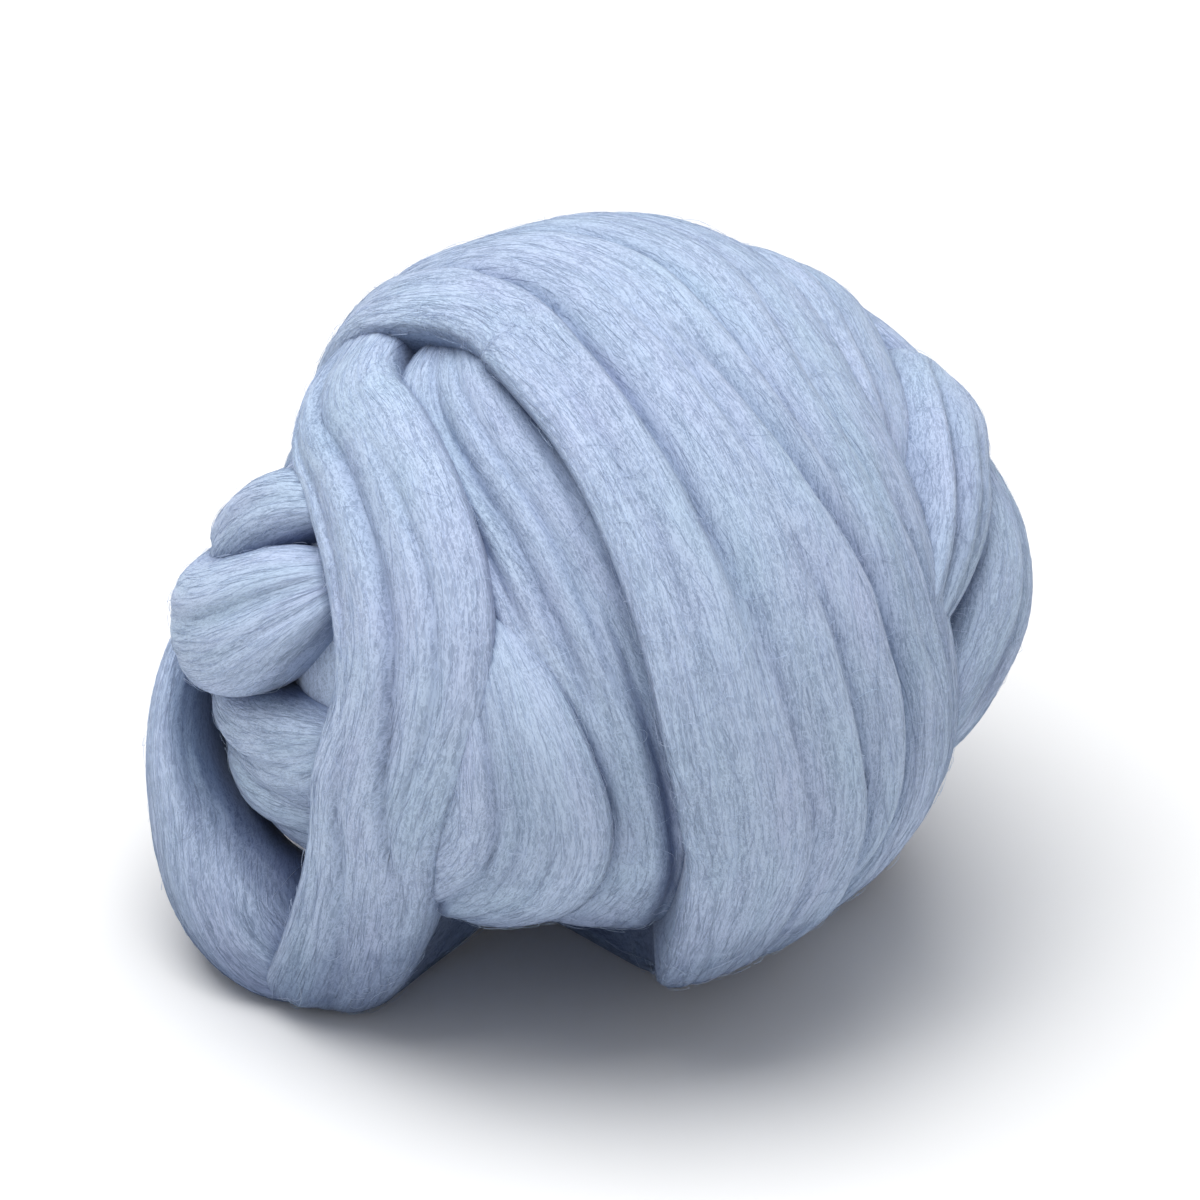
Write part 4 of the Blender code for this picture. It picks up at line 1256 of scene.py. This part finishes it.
def add_camera():
    """Looks at the ball from the front and above, as the photograph does, through a long lens."""
    data = bpy.data.cameras.new("camera")
    data.lens = LENS
    data.sensor_width = SENSOR
    distance = PHOTO_WIDTH * LENS / SENSOR
    camera = place_object("camera", data)
    target = np.array(PHOTO_CENTRE) * MM
    camera.location = to_world(target + np.array((0.0, -distance, 0.0))) + BALL_MIDDLE
    camera.rotation_euler = (math.radians(90.0) - VIEW_TILT, 0.0, 0.0)
    bpy.context.scene.camera = camera


def add_light(name, power, size, place):
    """A square area light that faces the middle of the ball."""
    data = bpy.data.lights.new(name, "AREA")
    data.energy = power
    data.size = size
    light = place_object(name, data)
    light.location = place
    light.rotation_euler = (Vector(BALL_MIDDLE) - Vector(place)).to_track_quat("-Z", "Y").to_euler()


def add_sky(colour, strength):
    """Even light from all round."""
    world = bpy.data.worlds.new("studio")
    world.use_nodes = True
    feed(world.node_tree, world.node_tree.nodes["Background"], {0: colour, 1: strength})
    bpy.context.scene.world = world


# ---------------------------------------------------------------- settings, operators and panel

class ROVING_PG_colours(bpy.types.PropertyGroup):
    """The wool's colours."""

    pale: bpy.props.FloatVectorProperty(
        name="Pale wool", description="The palest fibres", subtype="COLOR", size=4,
        min=0.0, max=1.0, default=(0.51, 0.61, 0.79, 1.0))
    deep: bpy.props.FloatVectorProperty(
        name="Deep wool", description="The deepest fibres", subtype="COLOR", size=4,
        min=0.0, max=1.0, default=(0.235, 0.30, 0.43, 1.0))


class ROVING_PG_fibres(bpy.types.PropertyGroup):
    """The combed fibres on the wool and the loose hairs over it."""

    density: bpy.props.FloatProperty(
        name="Fibres", description="Combed fibres on a square centimetre of wool",
        default=50.0, min=0.0, max=120.0)
    length: bpy.props.FloatProperty(
        name="Length", description="The usual length of a combed fibre that shows",
        default=0.010, min=0.002, max=0.08, subtype="DISTANCE", unit="LENGTH")
    thickness: bpy.props.FloatProperty(
        name="Thickness", description="The thickness of a combed fibre or a few that cling together",
        default=0.00007, min=0.00002, max=0.001, precision=5, subtype="DISTANCE", unit="LENGTH")
    loose: bpy.props.IntProperty(
        name="Loose hairs", description="Hairs that lie over the wool in any direction",
        default=5200, min=0, max=20000)


class ROVING_PG_stage(bpy.types.PropertyGroup):
    """The floor and the light."""

    floor: bpy.props.FloatVectorProperty(
        name="Floor", description="The floor's colour", subtype="COLOR", size=4,
        min=0.0, max=1.0, default=(0.9, 0.9, 0.9, 1.0))
    key: bpy.props.FloatProperty(
        name="Top light", description="The power of the soft light overhead",
        default=26.5, min=0.0, max=400.0, subtype="POWER", unit="POWER")
    sky: bpy.props.FloatProperty(
        name="Surrounding light", description="The strength of the light from all round",
        default=0.42, min=0.0, max=5.0)


class ROVING_OT_core(bpy.types.Operator):
    """Fill the middle of the ball with wool"""

    bl_idname = "roving.core"
    bl_label = "Fill the core"

    def execute(self, context):
        make_core()
        return {"FINISHED"}


class ROVING_OT_wraps(bpy.types.Operator):
    """Lay the flat wraps round the ball"""

    bl_idname = "roving.wraps"
    bl_label = "Lay the wraps"

    def execute(self, context):
        for course in lay_all_courses():
            if isinstance(course.piece, Wrap):
                loft(course)
        return {"FINISHED"}


class ROVING_OT_rolls(bpy.types.Operator):
    """Turn the full rolls back at the ball's ends"""

    bl_idname = "roving.rolls"
    bl_label = "Turn the rolls"

    def execute(self, context):
        for course in lay_all_courses():
            if isinstance(course.piece, Roll):
                loft(course)
        return {"FINISHED"}


class ROVING_OT_gaps(bpy.types.Operator):
    """Paint shade into the wool's colour where it lies deep in a gap"""

    bl_idname = "roving.gaps"
    bl_label = "Shade the gaps"

    def execute(self, context):
        tree = shown_surface()
        for piece in WRAPS + ROLLS:
            paint_gap_shade(tree, bpy.data.objects[piece.name].data)
        return {"FINISHED"}


class ROVING_OT_fibres(bpy.types.Operator):
    """Comb fibres along every wrap and roll"""

    bl_idname = "roving.fibres"
    bl_label = "Comb the fibres"

    def execute(self, context):
        tree = shown_surface()
        random = np.random.default_rng(FIBRE_RANDOM_SEED)
        for course in lay_all_courses():
            comb_fibres(course, tree, context.scene.roving_fibres, random)
        return {"FINISHED"}


class ROVING_OT_hairs(bpy.types.Operator):
    """Scatter loose hairs over the ball"""

    bl_idname = "roving.hairs"
    bl_label = "Scatter loose hairs"

    def execute(self, context):
        random = np.random.default_rng(HAIR_RANDOM_SEED)
        scatter_hairs(lay_all_courses(), shown_surface(), context.scene.roving_fibres, random)
        return {"FINISHED"}


class ROVING_OT_stage(bpy.types.Operator):
    """Add the floor, the lights and the camera"""

    bl_idname = "roving.stage"
    bl_label = "Set the stage"

    def execute(self, context):
        settings = context.scene.roving_stage
        add_floor(settings.floor[:])
        add_sky(SKY_COLOUR, settings.sky)
        add_light("top_light", settings.key, TOP_LIGHT_SIZE, TOP_LIGHT_PLACE)
        add_camera()
        context.scene.view_settings.view_transform = "Standard"
        return {"FINISHED"}


class ROVING_PT_panel(bpy.types.Panel):
    """Lists what makes the roving ball, in order"""

    bl_idname = "ROVING_PT_panel"
    bl_label = "Wool roving ball"
    bl_space_type = "VIEW_3D"
    bl_region_type = "UI"
    bl_category = "Roving"

    def draw(self, context):
        for operator in OPERATORS:
            self.layout.operator(operator.bl_idname)
        for group in SETTINGS:
            settings = getattr(context.scene, group)
            box = self.layout.box()
            for name in settings.__annotations__:
                box.prop(settings, name)


OPERATORS = (
    ROVING_OT_core, ROVING_OT_wraps, ROVING_OT_rolls, ROVING_OT_gaps, ROVING_OT_fibres, ROVING_OT_hairs,
    ROVING_OT_stage,
)
SETTINGS = {
    "roving_colours": ROVING_PG_colours,
    "roving_fibres": ROVING_PG_fibres,
    "roving_stage": ROVING_PG_stage,
}
CLASSES = tuple(SETTINGS.values()) + OPERATORS + (ROVING_PT_panel,)


def register():
    for item in CLASSES:
        bpy.utils.register_class(item)
    for name, group in SETTINGS.items():
        setattr(bpy.types.Scene, name, bpy.props.PointerProperty(type=group))


def unregister():
    for name in SETTINGS:
        delattr(bpy.types.Scene, name)
    for item in reversed(CLASSES):
        bpy.utils.unregister_class(item)


def main():
    """Makes the ball and its stage."""
    register()
    bpy.ops.roving.core()
    bpy.ops.roving.wraps()
    bpy.ops.roving.rolls()
    bpy.ops.roving.gaps()
    bpy.ops.roving.fibres()
    bpy.ops.roving.hairs()
    bpy.ops.roving.stage()
    bpy.context.view_layer.update()


if __name__ == "__main__":
    main()
